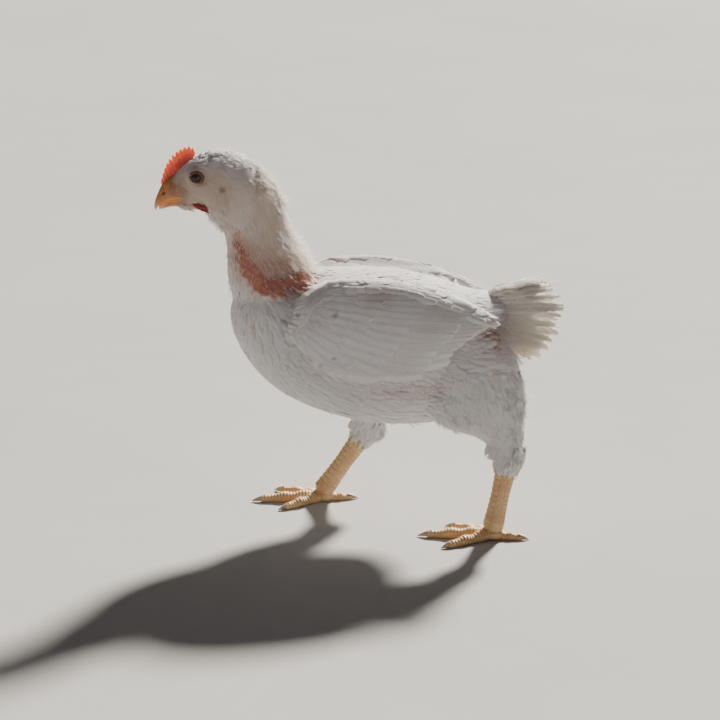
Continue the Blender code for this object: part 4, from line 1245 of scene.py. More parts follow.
@dataclass
class Vanes:
    """Finished vanes or strands: triangles, what their points carry, and whose they are."""

    points: Array
    triangles: Array
    values: dict[str, Array]
    owner: Array
    at: Array | None = None
    normals: Array | None = None

    def outward(self) -> "Vanes":
        """The same vanes with their faces turned outward."""
        corners = self.points[self.triangles]
        middle = self.points.mean(0)
        a, b, c = (corners[:, k] - middle for k in range(3))
        if (a * np.cross(b, c)).sum() < 0:
            self.triangles = self.triangles[:, ::-1]
        return self


def repeated(faces: list, count: int, per: int) -> Array:
    """The triangles of many like forms, each with so many points."""
    return (np.array(faces)[None] + (np.arange(count) * per)[:, None, None]).reshape(-1, 3)


@dataclass
class VaneBatch:
    """Many feathers of one kind, with arrays of feathers, stations and coordinates."""

    base: Array
    normal: Array
    along: Array
    half_width: Array
    height: Array
    roundness: Array
    marks: dict[str, Array]
    ragged: float = 0.3
    root_sunk: float = 0.25
    camber: float = 0.12
    side_turn: float = 0.3
    outline: tuple[tuple[float, ...], tuple[float, ...]] = (
        (0.0, 0.12, 0.35, 0.62, 0.82, 0.94, 1.0), (0.3, 0.62, 0.95, 1.0, 0.8, 0.46, 0.08))

    def form(self, rng: Rng) -> Vanes:
        """The feathers as closed vanes: a ridge over the shaft, two ragged edges and a flat underside.

        Args:
            rng: Source of the small differences among the feathers.

        Returns:
            The vanes.
        """
        count, stations = self.base.shape[:2]
        t = np.linspace(0, 1, stations)
        width = np.interp(t, *self.outline) * self.half_width[:, None]
        notch = 1 - self.ragged * rng.random((count, stations, 2))
        notch[:, 0::2] = 1 - 0.3 * self.ragged * rng.random((count, len(t[0::2]), 2))
        step = np.linalg.norm(self.base[:, -1] - self.base[:, 0], axis=1)[:, None] / (stations - 1)
        forward = step * np.where(np.arange(stations) % 2 == 0, 0.55, 0.0)[None, :]
        forward[:, 0] = 0
        rise = self.height[:, None] * (t[None, :] ** 0.8 * (1 + self.root_sunk) - self.root_sunk)
        camber = self.camber * width + 0.05 * MM
        across = np.cross(self.normal, self.along)
        shaft = self.base + self.normal * (rise + camber)[..., None]
        points = np.empty((count, stations, 3, 3))
        normals = np.empty((count, stations, 3, 3))
        points[:, :, 1] = shaft
        normals[:, :, 1] = self.normal
        for k, sign in ((0, -1), (2, 1)):
            wide = width * notch[:, :, k // 2]
            drop = rise - wide**2 / (2 * self.roundness[:, None])
            points[:, :, k] = (self.base + across * (sign * wide)[..., None] + self.normal * drop[..., None]
                               + self.along * forward[..., None])
            normals[:, :, k] = unit(self.normal + across * sign * self.side_turn)
        faces = [(a, b, c) for i in range(0, 3 * stations - 3, 3)
                 for a, b, c in ((i, i + 3, i + 4), (i, i + 4, i + 1), (i + 1, i + 4, i + 5),
                                 (i + 1, i + 5, i + 2), (i + 2, i + 5, i + 3), (i + 2, i + 3, i))]
        per = 3 * stations
        faces += [(0, 1, 2), (per - 3, per - 1, per - 2)]
        values = {"along": np.tile(np.repeat(t, 3), count),
                  "across": np.tile(np.tile((-1.0, 0.0, 1.0), stations), count),
                  "tone": np.repeat(rng.random(count), per)}
        values.update({key: np.repeat(value, per) for key, value in self.marks.items()})
        return Vanes(points.reshape(-1, 3), repeated(faces, count, per), values,
                     np.repeat(np.arange(count), per), normals=normals.reshape(-1, 3))


@dataclass
class Coat:
    """The body's feathers and down, in pieces of less than 200,000 triangles."""

    skin: Skin
    plan: CoatPlan
    markings: Markings
    seed: int = 41
    stations: dict[str, int] = field(default_factory=lambda: {
        "head": 5, "neck": 7, "body": 8, "thigh": 8, "cuff": 6})
    patch: float = 0.003
    # Rows of feathers over the hock: way down from its middle, radius fore and aft and across.
    cuff_rows: tuple[Point, ...] = (
        (8.5, 10.4, 8.6), (6.0, 11.4, 9.6), (3.5, 12.0, 10.1), (1.0, 12.3, 10.4), (-1.5, 12.5, 10.6),
        (-4.0, 12.5, 10.5), (-6.5, 12.3, 10.3), (-9.0, 12.0, 10.0))
    cuff_around: int = 50
    cuff_length: tuple[float, float] = (4.5 * MM, 10.5 * MM)
    cuff_bend: float = 0.22

    def scatter(self, rng: Rng) -> tuple[Array, Array, Array]:
        """Roots of feathers, as far apart as the plan says.

        Args:
            rng: Source of the places.

        Returns:
            Places, outward directions and zones.
        """
        corners, area, middle = self.skin.faces()
        spacing = self.plan.read(middle, self.skin.zones(middle))["spacing"]
        share = area / spacing**2
        picks = int(share.sum() * 4.0)
        chosen = rng.choice(len(area), picks, p=share / share.sum())
        a, b = rng.random((2, picks, 1))
        flip = a + b > 1
        a, b = np.where(flip, 1 - a, a), np.where(flip, 1 - b, b)
        c = corners[chosen]
        points = c[:, 0] + a * (c[:, 1] - c[:, 0]) + b * (c[:, 2] - c[:, 0])
        keep = self._wanted(points, rng)
        points, chosen = points[keep], chosen[keep]
        spaced = self._apart(points, spacing[chosen])
        points, chosen = points[spaced], chosen[spaced]
        normals = unit(self.skin.normals[self.skin.triangles[chosen]].mean(1))
        return points, normals, self.skin.zones(points)

    def _wanted(self, points: Array, rng: Rng) -> Array:
        """Which places may carry a feather: not the lids, the bill, the comb, or under the wing."""
        x, y, z = points.T
        y, head = np.abs(y), z > 255 * MM
        lids = head & (y > 6 * MM) & (self.skin.eye_reach(points)[0] < 1.16)
        bill = head & (x < -143 * MM)
        comb = (y < 2.2 * MM) & (x < -127.5 * MM) & (z > 284 * MM)
        s = self.skin.body.wing_plan(points)[1]
        low, high = columns_at(self.skin.body.arm_rows, x, 1, 2)
        zones = self.skin.zones(points)
        trunk = zones == Zone.TRUNK.value
        wing = (x > -46 * MM) & (x < 80 * MM) & (s > low + 6 * MM) & (s < high - 13 * MM) & (y > 18 * MM)
        low_down = z <= np.maximum(self._hem(zones) - 3 * MM, 84 * MM * trunk)
        keep = ~(lids | bill | comb | (wing & trunk) | low_down)
        return keep & (rng.random(len(points)) > 0.985 * self.markings.bare(points))

    def _hem(self, zones: Array) -> Array:
        """Height of the thigh's hem for each place's zone, and far below for the other zones."""
        right = self.plan.hem + self.plan.right_offset[1] * MM
        return np.select([zones == Zone.THIGH_LEFT.value, zones == Zone.THIGH_RIGHT.value],
                         [self.plan.hem, right], -1.0)

    def _apart(self, points: Array, spacing: Array) -> Array:
        """Indexes of the places that are left when each keeps its distance from those before it."""
        cell = 2.5 * MM
        grid: dict[tuple[int, int, int], list[Array]] = {}
        kept = []
        keys = np.floor(points / cell).astype(int)
        for i, ((a, b, c), own) in enumerate(zip(keys.tolist(), spacing.tolist())):
            near = range(-int(own / cell) - 1, int(own / cell) + 2)
            px, py, pz = points[i]
            others = (q for dx, dy, dz in itertools.product(near, repeat=3)
                      for q in grid.get((a + dx, b + dy, c + dz), ()))
            if all((q[0] - px) ** 2 + (q[1] - py) ** 2 + (q[2] - pz) ** 2 >= own * own for q in others):
                grid.setdefault((a, b, c), []).append(points[i])
                kept.append(i)
        return np.array(kept)

    def lay(self, roots: Array, normals: Array, zones: Array, stations: int,
            rng: Rng) -> VaneBatch:
        """Lays a feather along the skin from each root.

        Args:
            roots: Places of the roots.
            normals: Outward directions there.
            zones: Zones of the roots.
            stations: Points along a feather.
            rng: Source of the small differences.

        Returns:
            The feathers.
        """
        count = len(roots)
        sizes = self.plan.read(roots, zones)
        marks = self.markings.masks(roots)
        ahead = roots + sizes["lie"] * sizes["length"][:, None]
        bare = np.maximum(marks["bare"], self.markings.bare((roots + ahead) / 2))
        bare = np.maximum(bare, 0.7 * self.markings.bare(ahead))
        length = sizes["length"] * rng.uniform(0.82, 1.15, count) * (1 - 0.6 * bare)
        turn = rng.normal(0, 0.16, count)
        base = np.empty((count, stations, 3))
        outward, along = np.empty_like(base), np.empty_like(base)
        place, normal = roots, normals
        legs = {zone.value: unit(self.skin.body.legs[side][1] - self.skin.body.legs[side][0])
                for side, zone in THIGH_ZONES}
        leg = np.array([legs.get(zone, (0.0, 0.0, -1.0)) for zone in zones.tolist()])
        for i in range(stations):
            lie = self.plan.read(place, zones)["lie"]
            loose = (place[:, 2] < self._hem(zones))[:, None]
            lie = np.where(loose, leg, lie)
            normal = np.where(loose, unit(crosswise(normal, leg)), normal)
            tangent = unit(crosswise(lie, normal))
            tangent = unit(tangent + np.cross(normal, tangent) * np.tan(turn)[:, None])
            base[:, i], outward[:, i], along[:, i] = place, normal, tangent
            if i < stations - 1:
                ahead = place + tangent * (length / (stations - 1))[:, None]
                place, skin_normal = self.skin.nearest(ahead)
                place, normal = np.where(loose, ahead, place), np.where(loose, normal, skin_normal)
        smoothed = outward.copy()
        smoothed[:, 1:-1] = outward[:, :-2] + outward[:, 1:-1] + outward[:, 2:]
        height = sizes["height"] * rng.uniform(0.8, 1.1, count) * (1 - 0.5 * bare)
        half_width = sizes["half_width"] * rng.uniform(0.85, 1.12, count) * (1 - 0.65 * bare)
        return VaneBatch(base, unit(smoothed), along, half_width, height, sizes["roundness"], marks)

    def cuff(self, side: Side, rng: Rng) -> Vanes:
        """Short feathers that hang from the thigh over the hock.

        Args:
            side: Which leg.
            rng: Source of the small differences.

        Returns:
            The feathers.
        """
        hock, foot = self.skin.body.legs[side]
        down = unit(foot - hock)
        fore = unit(np.cross(down, Y))
        rows = np.repeat(np.array(self.cuff_rows), self.cuff_around, axis=0)
        count = len(rows)
        angle = (np.arange(count) * GOLDEN_ANGLE + rng.normal(0, 0.12, count))[:, None]
        rows[:, 0] += rng.normal(0, 1.1, count)
        ahead, aside = fore * np.cos(angle), Y * np.sin(angle)
        outward = unit(ahead * rows[:, 2:] + aside * rows[:, 1:2])
        root = hock + (down * rows[:, :1] + ahead * rows[:, 1:2] + aside * rows[:, 2:]) * MM
        length = rng.uniform(*self.cuff_length, count)
        t = np.linspace(0, 1, self.stations["cuff"])
        base = root[:, None] + down * (length[:, None] * t)[..., None]
        swing = np.cross(outward, down) * rng.normal(0, 0.12, count)[:, None]
        bend = swing - outward * self.cuff_bend * (rows[:, :1] > 0)
        base = base + bend[:, None] * (length[:, None] * t**2)[..., None]
        along = unit(np.gradient(base, axis=1))
        normal = unit(crosswise(outward[:, None], along))
        batch = VaneBatch(base, normal, along, rng.uniform(0.8, 1.5, count) * MM,
                          rng.uniform(0.2, 0.7, count) * MM, np.full(count, 11 * MM),
                          self.markings.masks(root), ragged=0.55)
        vanes = batch.form(rng)
        turn = (angle[:, 0] / (2 * math.pi)) % 1
        vanes.at = np.stack([0.95 + 0.03 * rows[:, 0] / 20, turn * 0.98 + 0.01], 1)
        return vanes

    def unwrap(self, roots: Array, zone_axis: tuple[Array, Array]) -> Array:
        """Places of roots on an unrolled tube round a middle line.

        Args:
            roots: Places on the skin.
            zone_axis: Places and directions of the middle line.

        Returns:
            Share of the length and of the turn for each root.
        """
        centre, along = zone_axis
        gap = roots[:, None] - centre[None]
        index = np.linalg.norm(gap, axis=2).argmin(1)
        off = roots - centre[index]
        step = np.linalg.norm(np.diff(centre, axis=0), axis=1).sum() / (len(centre) - 1)
        u = (index + np.clip((off * along[index]).sum(1) / step, -0.5, 0.5)) / (len(centre) - 1)
        above = unit(np.cross(along[index], Y))
        v = (np.arctan2(off @ Y, (off * above).sum(1)) / (2 * math.pi)) % 1.0
        return np.clip(np.stack([u, v], 1), 0, 1) * 0.98 + 0.01

    def piece(self, shop: Workshop, name: str, parts: list[Vanes], finish: Material, slot: Slot,
              nodes: tuple[str, ...] = ()) -> None:
        """One object of many feathers, with its bake map.

        Args:
            shop: Makes objects.
            name: The object's name.
            parts: The vanes, with the owners' places in the bake map.
            finish: The material.
            slot: The record's slot.
            nodes: The solids that it stands for.
        """
        points = np.vstack([p.points for p in parts])
        starts = np.cumsum([0] + [len(p.points) for p in parts[:-1]])
        triangles = np.vstack([p.outward().triangles + start for p, start in zip(parts, starts)])
        uv = np.vstack([p.at[p.owner] + self.patch * np.stack(
            [p.values["along"] - 0.5, p.values["across"] / 2], 1) for p in parts])
        mesh = bpy.data.meshes.new(name)
        mesh.vertices.add(len(points))
        shop.place(mesh, points)
        mesh.loops.add(3 * len(triangles))
        mesh.loops.foreach_set("vertex_index", triangles.astype(np.int32).ravel())
        mesh.polygons.add(len(triangles))
        mesh.polygons.foreach_set("loop_start", np.arange(0, 3 * len(triangles), 3, dtype=np.int32))
        shop.store(mesh, {key: np.concatenate([p.values[key] for p in parts]) for key in parts[0].values})
        layer = mesh.uv_layers.new(name="OFBake")
        layer.uv.foreach_set("vector", uv[triangles.ravel()].astype(np.float32).ravel())
        mesh.validate()
        mesh.update()
        obj = shop.link(name, mesh)
        shop.finish(obj, finish, slot, nodes, 60)
        if all(p.normals is not None for p in parts):
            corners = points[triangles]
            facing = np.cross(corners[:, 1] - corners[:, 0], corners[:, 2] - corners[:, 0])
            normals = np.vstack([p.normals for p in parts])[triangles]
            normals *= np.where((normals.sum(1) * facing).sum(1) < 0, -1, 1)[:, None, None]
            mesh.normals_split_custom_set(normals.reshape(-1, 3).tolist())

    def build(self, shop: Workshop, finish: Material) -> None:
        """Makes all pieces of the body's coat.

        Args:
            shop: Makes objects.
            finish: The feathers' material.
        """
        rng = np.random.default_rng(self.seed)
        roots, normals, zones = self.scatter(rng)
        LOG.info("%d body feathers", len(roots))
        spine, neck = straight(-104, 126, 155, 60), self.skin.body.neck_axis()[:2]
        head, front = roots[:, 2] > 256 * MM, roots[:, 0] < -20 * MM
        neck_zone, trunk = zones == Zone.NECK_HEAD.value, zones == Zone.TRUNK.value
        pieces = [("coat_head", neck_zone & head, "head", neck, None),
                  ("coat_neck", neck_zone & ~head, "neck", neck, None),
                  ("coat_breast", trunk & front, "body", spine, None),
                  ("coat_back", trunk & ~front, "body", spine, None)]
        for side, zone in THIGH_ZONES:
            axis = self.skin.body.thigh_axis(side)[:2]
            pieces.append((f"coat_thigh_{side.word}", zones == zone.value, "thigh", axis, side))
        for name, chosen, part, axis, side in pieces:
            batch = self.lay(roots[chosen], normals[chosen], zones[chosen], self.stations[part], rng)
            vanes = batch.form(rng)
            vanes.at = self.unwrap(roots[chosen], axis)
            parts = [vanes] if side is None else [vanes, self.cuff(side, rng)]
            self.piece(shop, name, parts, finish, Slot.FEATHERS)


def straight(first: float, last: float, height: float, count: int) -> tuple[Array, Array]:
    """Places and directions of a straight line along the body, from sizes in millimetres."""
    line = np.stack([np.linspace(first, last, count) * MM, np.zeros(count), np.full(count, height * MM)], 1)
    return line, np.tile((1.0, 0.0, 0.0), (count, 1))


@dataclass
class Down:
    """Loose down: tufts of thin curved strands where the coat breaks at its edge."""

    skin: Skin
    coat: Coat
    seed: int = 7
    strand_rings: int = 4
    # Places with down: x, z, reach, tufts, length of a strand, how far it stands off, strands a tuft.
    spots: tuple[tuple[float, ...], ...] = (
        (-120, 304, 9, 100, 4.5, 0.55, 7), (-103, 302, 10, 130, 5.5, 0.65, 7),
        (-86, 293, 10, 110, 6.5, 0.7, 7), (-72, 280, 11, 110, 8.0, 0.75, 7), (-62, 268, 3, 2, 11.0, 1.2, 16),
        (-60, 256, 12, 100, 8.0, 0.65, 7), (-53, 236, 10, 110, 12.0, 0.75, 6),
        (-44, 220, 9, 80, 11.0, 0.6, 6), (-130, 257, 6, 40, 4.5, 0.5, 6), (-121, 258, 7, 40, 4.5, 0.6, 6),
        (-110, 252, 8, 100, 6.5, 0.75, 7), (-106, 236, 12, 50, 5.0, 0.4, 6),
        (-104, 200, 20, 60, 6.0, 0.3, 5), (-52, 196, 8, 80, 6.5, 0.3, 6), (-55, 178, 9, 110, 6.5, 0.3, 6),
        (-51, 163, 8, 60, 6.5, 0.3, 6), (112, 150, 16, 150, 11, 0.5, 7), (96, 118, 18, 100, 10, 0.45, 7),
        (120, 170, 9, 240, 16, 0.55, 7), (124, 180, 6, 80, 14, 0.3, 7), (60, 88, 22, 90, 8, 0.4, 6),
        (0, 86, 25, 80, 8, 0.3, 6), (93, 178, 9, 100, 10, 0.4, 6))
    thigh_spots: tuple[tuple[float, ...], ...] = (
        (128, 118, 18, 190, 9, 0.55, 7), (122, 95, 12, 110, 7, 0.5, 6), (124, 80, 9, 110, 6, 0.45, 6),
        (119, 68, 9, 110, 5.5, 0.4, 6), (70, 105, 18, 80, 8, 0.35, 6), (100, 139, 22, 60, 8, 0.25, 6))
    # Shares of a strand's length: how far apart a tuft's strands start, and end.
    clump: tuple[float, float] = (0.13, 0.1)

    def _roots(self, rng: Rng) -> tuple[Array, Array, Array, Array, Array, Array]:
        """Roots of all tufts.

        Args:
            rng: Source of the places.

        Returns:
            Places, outward directions, zones, strand lengths, how far they stand off, strands a tuft.
        """
        skin = self.skin
        _, area, middle = skin.faces()
        zones = skin.zones(middle)
        chosen, sizes = [], []
        right = np.array(self.thigh_spots, float)
        right[:, :2] += self.coat.plan.right_offset
        groups = ((np.array(self.spots), (Zone.TRUNK, Zone.NECK_HEAD)),
                  (np.array(self.thigh_spots), (Zone.THIGH_LEFT,)), (right, (Zone.THIGH_RIGHT,)))
        for spots, allowed in groups:
            here = np.isin(zones, [z.value for z in allowed])
            for x, z, reach, tufts, size, off, each in spots:
                away = np.hypot(middle[:, 0] - x * MM, middle[:, 2] - z * MM) / (reach * MM)
                weight = np.where(here, area * np.exp(-0.5 * (1.6 * away) ** 2), 0)
                chosen.append(rng.choice(len(weight), int(tufts), p=weight / weight.sum()))
                sizes.append(np.tile((size * MM, off, each), (int(tufts), 1)))
        chosen = np.concatenate(chosen)
        normals = unit(skin.normals[skin.triangles[chosen]].mean(1))
        length, stand, strands = np.vstack(sizes).T
        return middle[chosen], normals, zones[chosen], length, stand, strands.astype(int)

    def strands(self, start: Array, ahead: Array, outward: Array, length: Array, curl: Array,
                radius: Array) -> tuple[Array, Array, Array, Array]:
        """Thin three-sided strands that bend over.

        Args:
            start: Root of each strand.
            ahead: Its direction at the root.
            outward: The skin's outward direction there.
            length: Its length.
            curl: How far it bends back to the skin, in radians.
            radius: Its radius at the root.

        Returns:
            Points, triangles, the share of the length and the normal at each point.
        """
        count, rings = len(start), self.strand_rings
        points, normals = np.empty((2, count, rings, 3, 3))
        place = start.copy()
        across = unit(np.cross(outward, ahead))
        for i in range(rings):
            t = i / (rings - 1)
            angle = (curl * t)[:, None]
            heading = unit(ahead * np.cos(angle) - np.cross(across, ahead) * -np.sin(angle))
            lifted = np.cross(heading, across)
            thin = (radius * (1 - 0.85 * t))[:, None]
            for k in range(3):
                roll = 2 * math.pi * k / 3
                turned = across * math.cos(roll) + lifted * math.sin(roll)
                points[:, i, k] = place + thin * turned
                normals[:, i, k] = unit(turned + 0.8 * outward)
            place = place + heading * (length / (rings - 1))[:, None]
        faces = []
        for i in range(rings - 1):
            for k in range(3):
                a, b, c, d = 3 * i + k, 3 * i + (k + 1) % 3, 3 * (i + 1) + k, 3 * (i + 1) + (k + 1) % 3
                faces += [(a, b, d), (a, d, c)]
        last = 3 * (rings - 1)
        faces += [(0, 2, 1), (last, last + 1, last + 2)]
        share = np.tile(np.repeat(np.linspace(0, 1, rings), 3), count)
        return points.reshape(-1, 3), repeated(faces, count, 3 * rings), share, normals.reshape(-1, 3)

    def build(self, shop: Workshop, finish: Material) -> None:
        """Makes the down.

        Args:
            shop: Makes objects.
            finish: The feathers' material.
        """
        rng = np.random.default_rng(self.seed)
        roots, normals, zones, length, stand, strands = self._roots(rng)
        plan = self.coat.plan.read(roots, zones)
        lie, height = plan["lie"], plan["height"]
        tangent = unit(crosswise(lie, normals))
        owner = np.repeat(np.arange(len(roots)), strands)
        tuft = unit(tangent + normals * (stand * rng.uniform(0.4, 1.5, len(roots)))[:, None]
                    + rng.normal(0, 0.28, (len(roots), 3)))
        length = length * rng.uniform(0.55, 1.25, len(roots))
        apart, close = (share * length[owner][:, None] * rng.normal(0, 1, (len(owner), 3))
                        for share in self.clump)
        apart = crosswise(apart, normals[owner])
        start = roots[owner] + normals[owner] * (0.45 * height[owner])[:, None] + apart
        ahead = unit(tuft[owner] * length[owner][:, None] - apart + close)
        curl = rng.uniform(-0.2, 1.2, len(roots))[owner] + rng.normal(0, 0.15, len(owner))
        radius = rng.uniform(0.13, 0.24, len(owner)) * MM
        length = length[owner] * rng.uniform(0.75, 1.1, len(owner))
        tone = rng.random(len(owner))
        at = self.coat.unwrap(roots, straight(-150, 130, 170, 80))
        marks = self.coat.markings.masks(roots)
        per = 3 * self.strand_rings
        for name, zone in (("head", Zone.NECK_HEAD), ("body", Zone.TRUNK),
                           ("thigh_left", Zone.THIGH_LEFT), ("thigh_right", Zone.THIGH_RIGHT)):
            chosen = zones[owner] == zone.value
            points, triangles, along, outward = self.strands(
                *(a[chosen] for a in (start, ahead, normals[owner], length, curl, radius)))
            whose = np.repeat(owner[chosen], per)
            values = {"along": 0.35 + 0.65 * along, "across": np.full(len(along), 0.5),
                      "tone": np.repeat(tone[chosen], per)}
            for key, value in marks.items():
                values[key] = value[whose] * (0.4 if key == "face" else 0.7)
            vanes = Vanes(points, triangles, values, whose, at, outward)
            self.coat.piece(shop, f"down_{name}", [vanes], finish, Slot.FEATHERS)


@dataclass
class FlightFeather:
    """One large feather as a thin closed plate with a raised shaft and split edges."""

    stations: int = 18
    columns: int = 7
    thickness: float = 0.28 * MM
    shaft: float = 0.35 * MM
    outline: tuple[tuple[float, ...], tuple[float, ...]] = (
        (0.0, 0.1, 0.42, 0.75, 0.9, 0.97, 1.0), (0.3, 0.62, 1.0, 0.93, 0.68, 0.38, 0.1))

    def form(self, place: Callable[[Array, Array, Array], Array], half_width: float,
             rng: Rng, ragged: float) -> Vanes:
        """The feather.

        Args:
            place: Puts points at shares of the length, distances across and heights in space.
            half_width: Half its width at the widest.
            rng: Source of its splits.
            ragged: How deep the splits are.

        Returns:
            The feather.
        """
        m, c = self.stations, self.columns
        t = np.linspace(0, 1, m)
        v = np.linspace(-1, 1, c)
        width = np.interp(t, *self.outline) * half_width
        edge = 1 - ragged * rng.random((m, 2)) ** 2
        edge[1::2] -= 0.5 * ragged * rng.random((len(t[1::2]), 2))
        reach = np.where(v[None, :] < 0, edge[:, :1], edge[:, 1:])
        wide = v[None, :] * width[:, None] * np.where(np.abs(v)[None, :] > 0.6, reach, 1)
        along = np.broadcast_to(t[:, None], (m, c)) + 0.035 * np.abs(v)[None, :] * np.where(
            np.arange(m)[:, None] % 2 == 0, 1, 0.3) * (t[:, None] > 0)
        along = np.minimum(along, 1.0 + 0.01 * rng.random((m, c)))
        rib = self.shaft * np.exp(-((v / 0.16) ** 2))[None, :] * (1 - 0.75 * t[:, None])
        top = self.thickness * (1 - 0.55 * np.abs(v))[None, :] + rib
        upper = place(along.ravel(), wide.ravel(), top.ravel())
        lower = place(along.ravel(), wide.ravel(), np.zeros(m * c))
        points = np.vstack([upper, lower])
        i, k = np.meshgrid(np.arange(m - 1), np.arange(c - 1), indexing="ij")
        a, b = (i * c + k).ravel(), ((i + 1) * c + k).ravel()
        n = m * c
        quads = [np.stack([a, b, b + 1, a + 1], 1), np.stack([a + 1, b + 1, b, a], 1) + n]
        rim = np.concatenate([np.arange(c - 1), np.arange(m - 1) * c + c - 1, n - 1 - np.arange(c - 1),
                              (np.arange(m - 1, 0, -1)) * c])
        after = np.roll(rim, -1)
        quads.append(np.stack([rim, after, after + n, rim + n], 1))
        quads = np.vstack(quads)
        triangles = np.vstack([quads[:, [0, 1, 2]], quads[:, [0, 2, 3]]])
        values = {"along": np.tile(along.ravel(), 2), "across": np.tile(v, 2 * m),
                  "tone": np.full(2 * n, rng.random())}
        return Vanes(points, triangles, values, np.zeros(2 * n, int))


@dataclass
class Tier:
    """One row of wing feathers, lowest first, between two points of the plan for roots and for tips."""

    count: int
    root_a: tuple[float, float]
    root_b: tuple[float, float]
    tip_a: tuple[float, float]
    tip_b: tuple[float, float]
    half_width: float
    lift: float
    rise: float
    ragged: float = 0.12


@dataclass
class Wing:
    """A folded wing: tiers of feathers laid over its arm."""

    side: Side
    skin: Skin
    coat: Coat
    seed: int = 3
    arch: float = 0.8 * MM
    tiers: tuple[Tier, ...] = (
        Tier(10, (-10, 5), (34, 28), (70, -1), (108, 40), 6.0, 0.7, 1.2, 0.1),
        Tier(13, (-26, 8), (22, 48), (50, -9), (94, 49), 8.2, 2.2, 2.9, 0.1),
        Tier(13, (-32, 9), (10, 52), (16, -11), (60, 56), 7.6, 3.6, 2.2, 0.14),
        Tier(12, (-38, 12), (-6, 55), (-8, -8), (28, 60), 7.2, 4.6, 1.8, 0.18),
        Tier(12, (-43, 12), (-18, 57), (-20, -5), (8, 62), 6.0, 5.0, 1.6, 0.2),
        Tier(11, (-47, 14), (-28, 55), (-28, 0), (-8, 64), 5.2, 4.6, 1.6, 0.22),
        Tier(10, (-51, 15), (-37, 50), (-35, 4), (-20, 60), 4.6, 3.4, 1.6, 0.24),
        Tier(9, (-55, 17), (-46, 44), (-41, 8), (-30, 54), 4.0, 1.6, 1.4, 0.25))
    # Rows of feathers along the upper edge: distance above it, in millimetres.
    edge_rows: tuple[float, ...] = (-18, -13, -8, -3, 2, 7)
    edge_pitch: float = 6.2 * MM
    edge_span: tuple[float, float] = (-50 * MM, 90 * MM)
    edge_lift: Array = table((-50, 2.5), (-30, 6.4), (0, 8.0), (30, 7.2), (60, 5.7), (90, 2.8))
    edge_tilt: float = 0.6
    # How much lower each further row lies where it closes on to the body, in millimetres.
    edge_sink: float = 0.42
    # How far feathers lie over the skin where they close on to the body.
    hug: float = 1.5 * MM

    def _upper(self, x: Array) -> Array:
        """Place of the wing's upper edge in its plan."""
        return columns_at(self.skin.body.arm_rows, x, 2)[0]

    def _tier(self, tier: Tier, layer: int, rng: Rng) -> list[Vanes]:
        """The feathers of a tier, lowest first.

        Args:
            tier: The tier.
            layer: Its number.
            rng: Source of small differences.

        Returns:
            The feathers.
        """
        made = []
        for share in np.linspace(0, 1, tier.count):
            root, tip = (np.array(a) * (1 - share) + np.array(b) * share
                         for a, b in ((tier.root_a, tier.root_b), (tier.tip_a, tier.tip_b)))
            root, tip = (root + rng.normal(0, 0.5, 2)) * MM, (tip + rng.normal(0, (0.9, 0.7))) * MM
            feather = self._feather(root, tip, tier.half_width * rng.uniform(0.93, 1.07) * MM,
                                    (tier.lift + tier.rise * share) * MM, layer, tier.ragged, rng)
            feather.at = np.array([[0.5, 0.05 + 0.9 * (layer + share) / (len(self.tiers) + 2)]])
            made.append(feather)
        return made

    def _edge(self, rng: Rng) -> list[Vanes]:
        """Fine feathers along the wing's upper edge, which close it on to the back.

        Args:
            rng: Source of small differences.

        Returns:
            The feathers.
        """
        made = []
        for row, above in enumerate(self.edge_rows):
            for x in np.arange(*self.edge_span, self.edge_pitch):
                x += (row % 2) * self.edge_pitch / 2 + rng.normal(0, 1.1 * MM)
                length = rng.uniform(14, 21) * MM
                root = np.array([x, self._upper(x) + above * MM + rng.normal(0, 1.0 * MM)])
                tip = np.array([x + length, self._upper(x + length) + above * MM + rng.normal(0, 1.6 * MM)])
                lift = np.interp(x, *self.edge_lift.T)
                half_width = rng.uniform(3.0, 4.4) * MM
                feather = self._feather(root, tip, half_width, lift, len(self.tiers), 0.35, rng, row)
                feather.at = np.array([[0.5, 0.84 + 0.14 * row / len(self.edge_rows)]])
                made.append(feather)
        return made

    def _feather(self, root: Array, tip: Array, half_width: float, lift: float, layer: int, ragged: float,
                 rng: Rng, row: int | None = None) -> Vanes:
        """One feather between two points of the wing's plan.

        Args:
            root: Where it starts.
            tip: Where it ends.
            half_width: Half its width.
            lift: Height over the flank's form.
            layer: Number of its tier.
            ragged: How deep its splits are.
            rng: Source of small differences.
            row: Number of its row on the upper edge, if it has one.

        Returns:
            The feather.
        """
        body = self.skin.body
        run = tip - root
        across = np.array([-run[1], run[0]]) / np.linalg.norm(run)

        def place(u: Array, w: Array, h: Array) -> Array:
            """Points of the feather in space."""
            bow = 0.045 * np.linalg.norm(run) * np.sin(math.pi * np.clip(u, 0, 1))
            x = root[0] + run[0] * u + across[0] * (w - bow)
            s = root[1] + run[1] * u + across[1] * (w - bow)
            camber = self.arch * (1 - (w / half_width) ** 2) * 0.5
            above, fall = s - self._upper(x), 1.0
            if row is not None:
                camber += (0.2 * row - self.edge_tilt * (min(row, 2) - 1) * w / half_width) * MM
                fall = 1 - 0.85 * ease(above, -20 * MM, 10 * MM)
            over = np.maximum(lift * fall, body.arm_height(x, s) + (0.5 + 0.25 * layer) * MM * fall)
            over = over - (1 - ease(u, 0.0, 0.25)) * 1.2 * MM
            points = body.wing_point(self.side, x, s, over + camber + h)
            close = np.maximum(ease(above, -8 * MM, 3 * MM), 1 - ease(x, -54 * MM, -38 * MM))
            near = close > 0
            if near.any():
                foot, outward = self.skin.nearest(points[near])
                hug = self.hug + (0.06 * layer - self.edge_sink * (row or 0)) * MM
                lying = foot + outward * (hug + camber + h)[near, None]
                points[near] += (lying - points[near]) * close[near, None]
            return points

        stations = 20 if layer < 3 else 13
        shape = FlightFeather(stations=stations, columns=7 if layer < 4 else 5)
        return shape.form(place, half_width, rng, ragged)

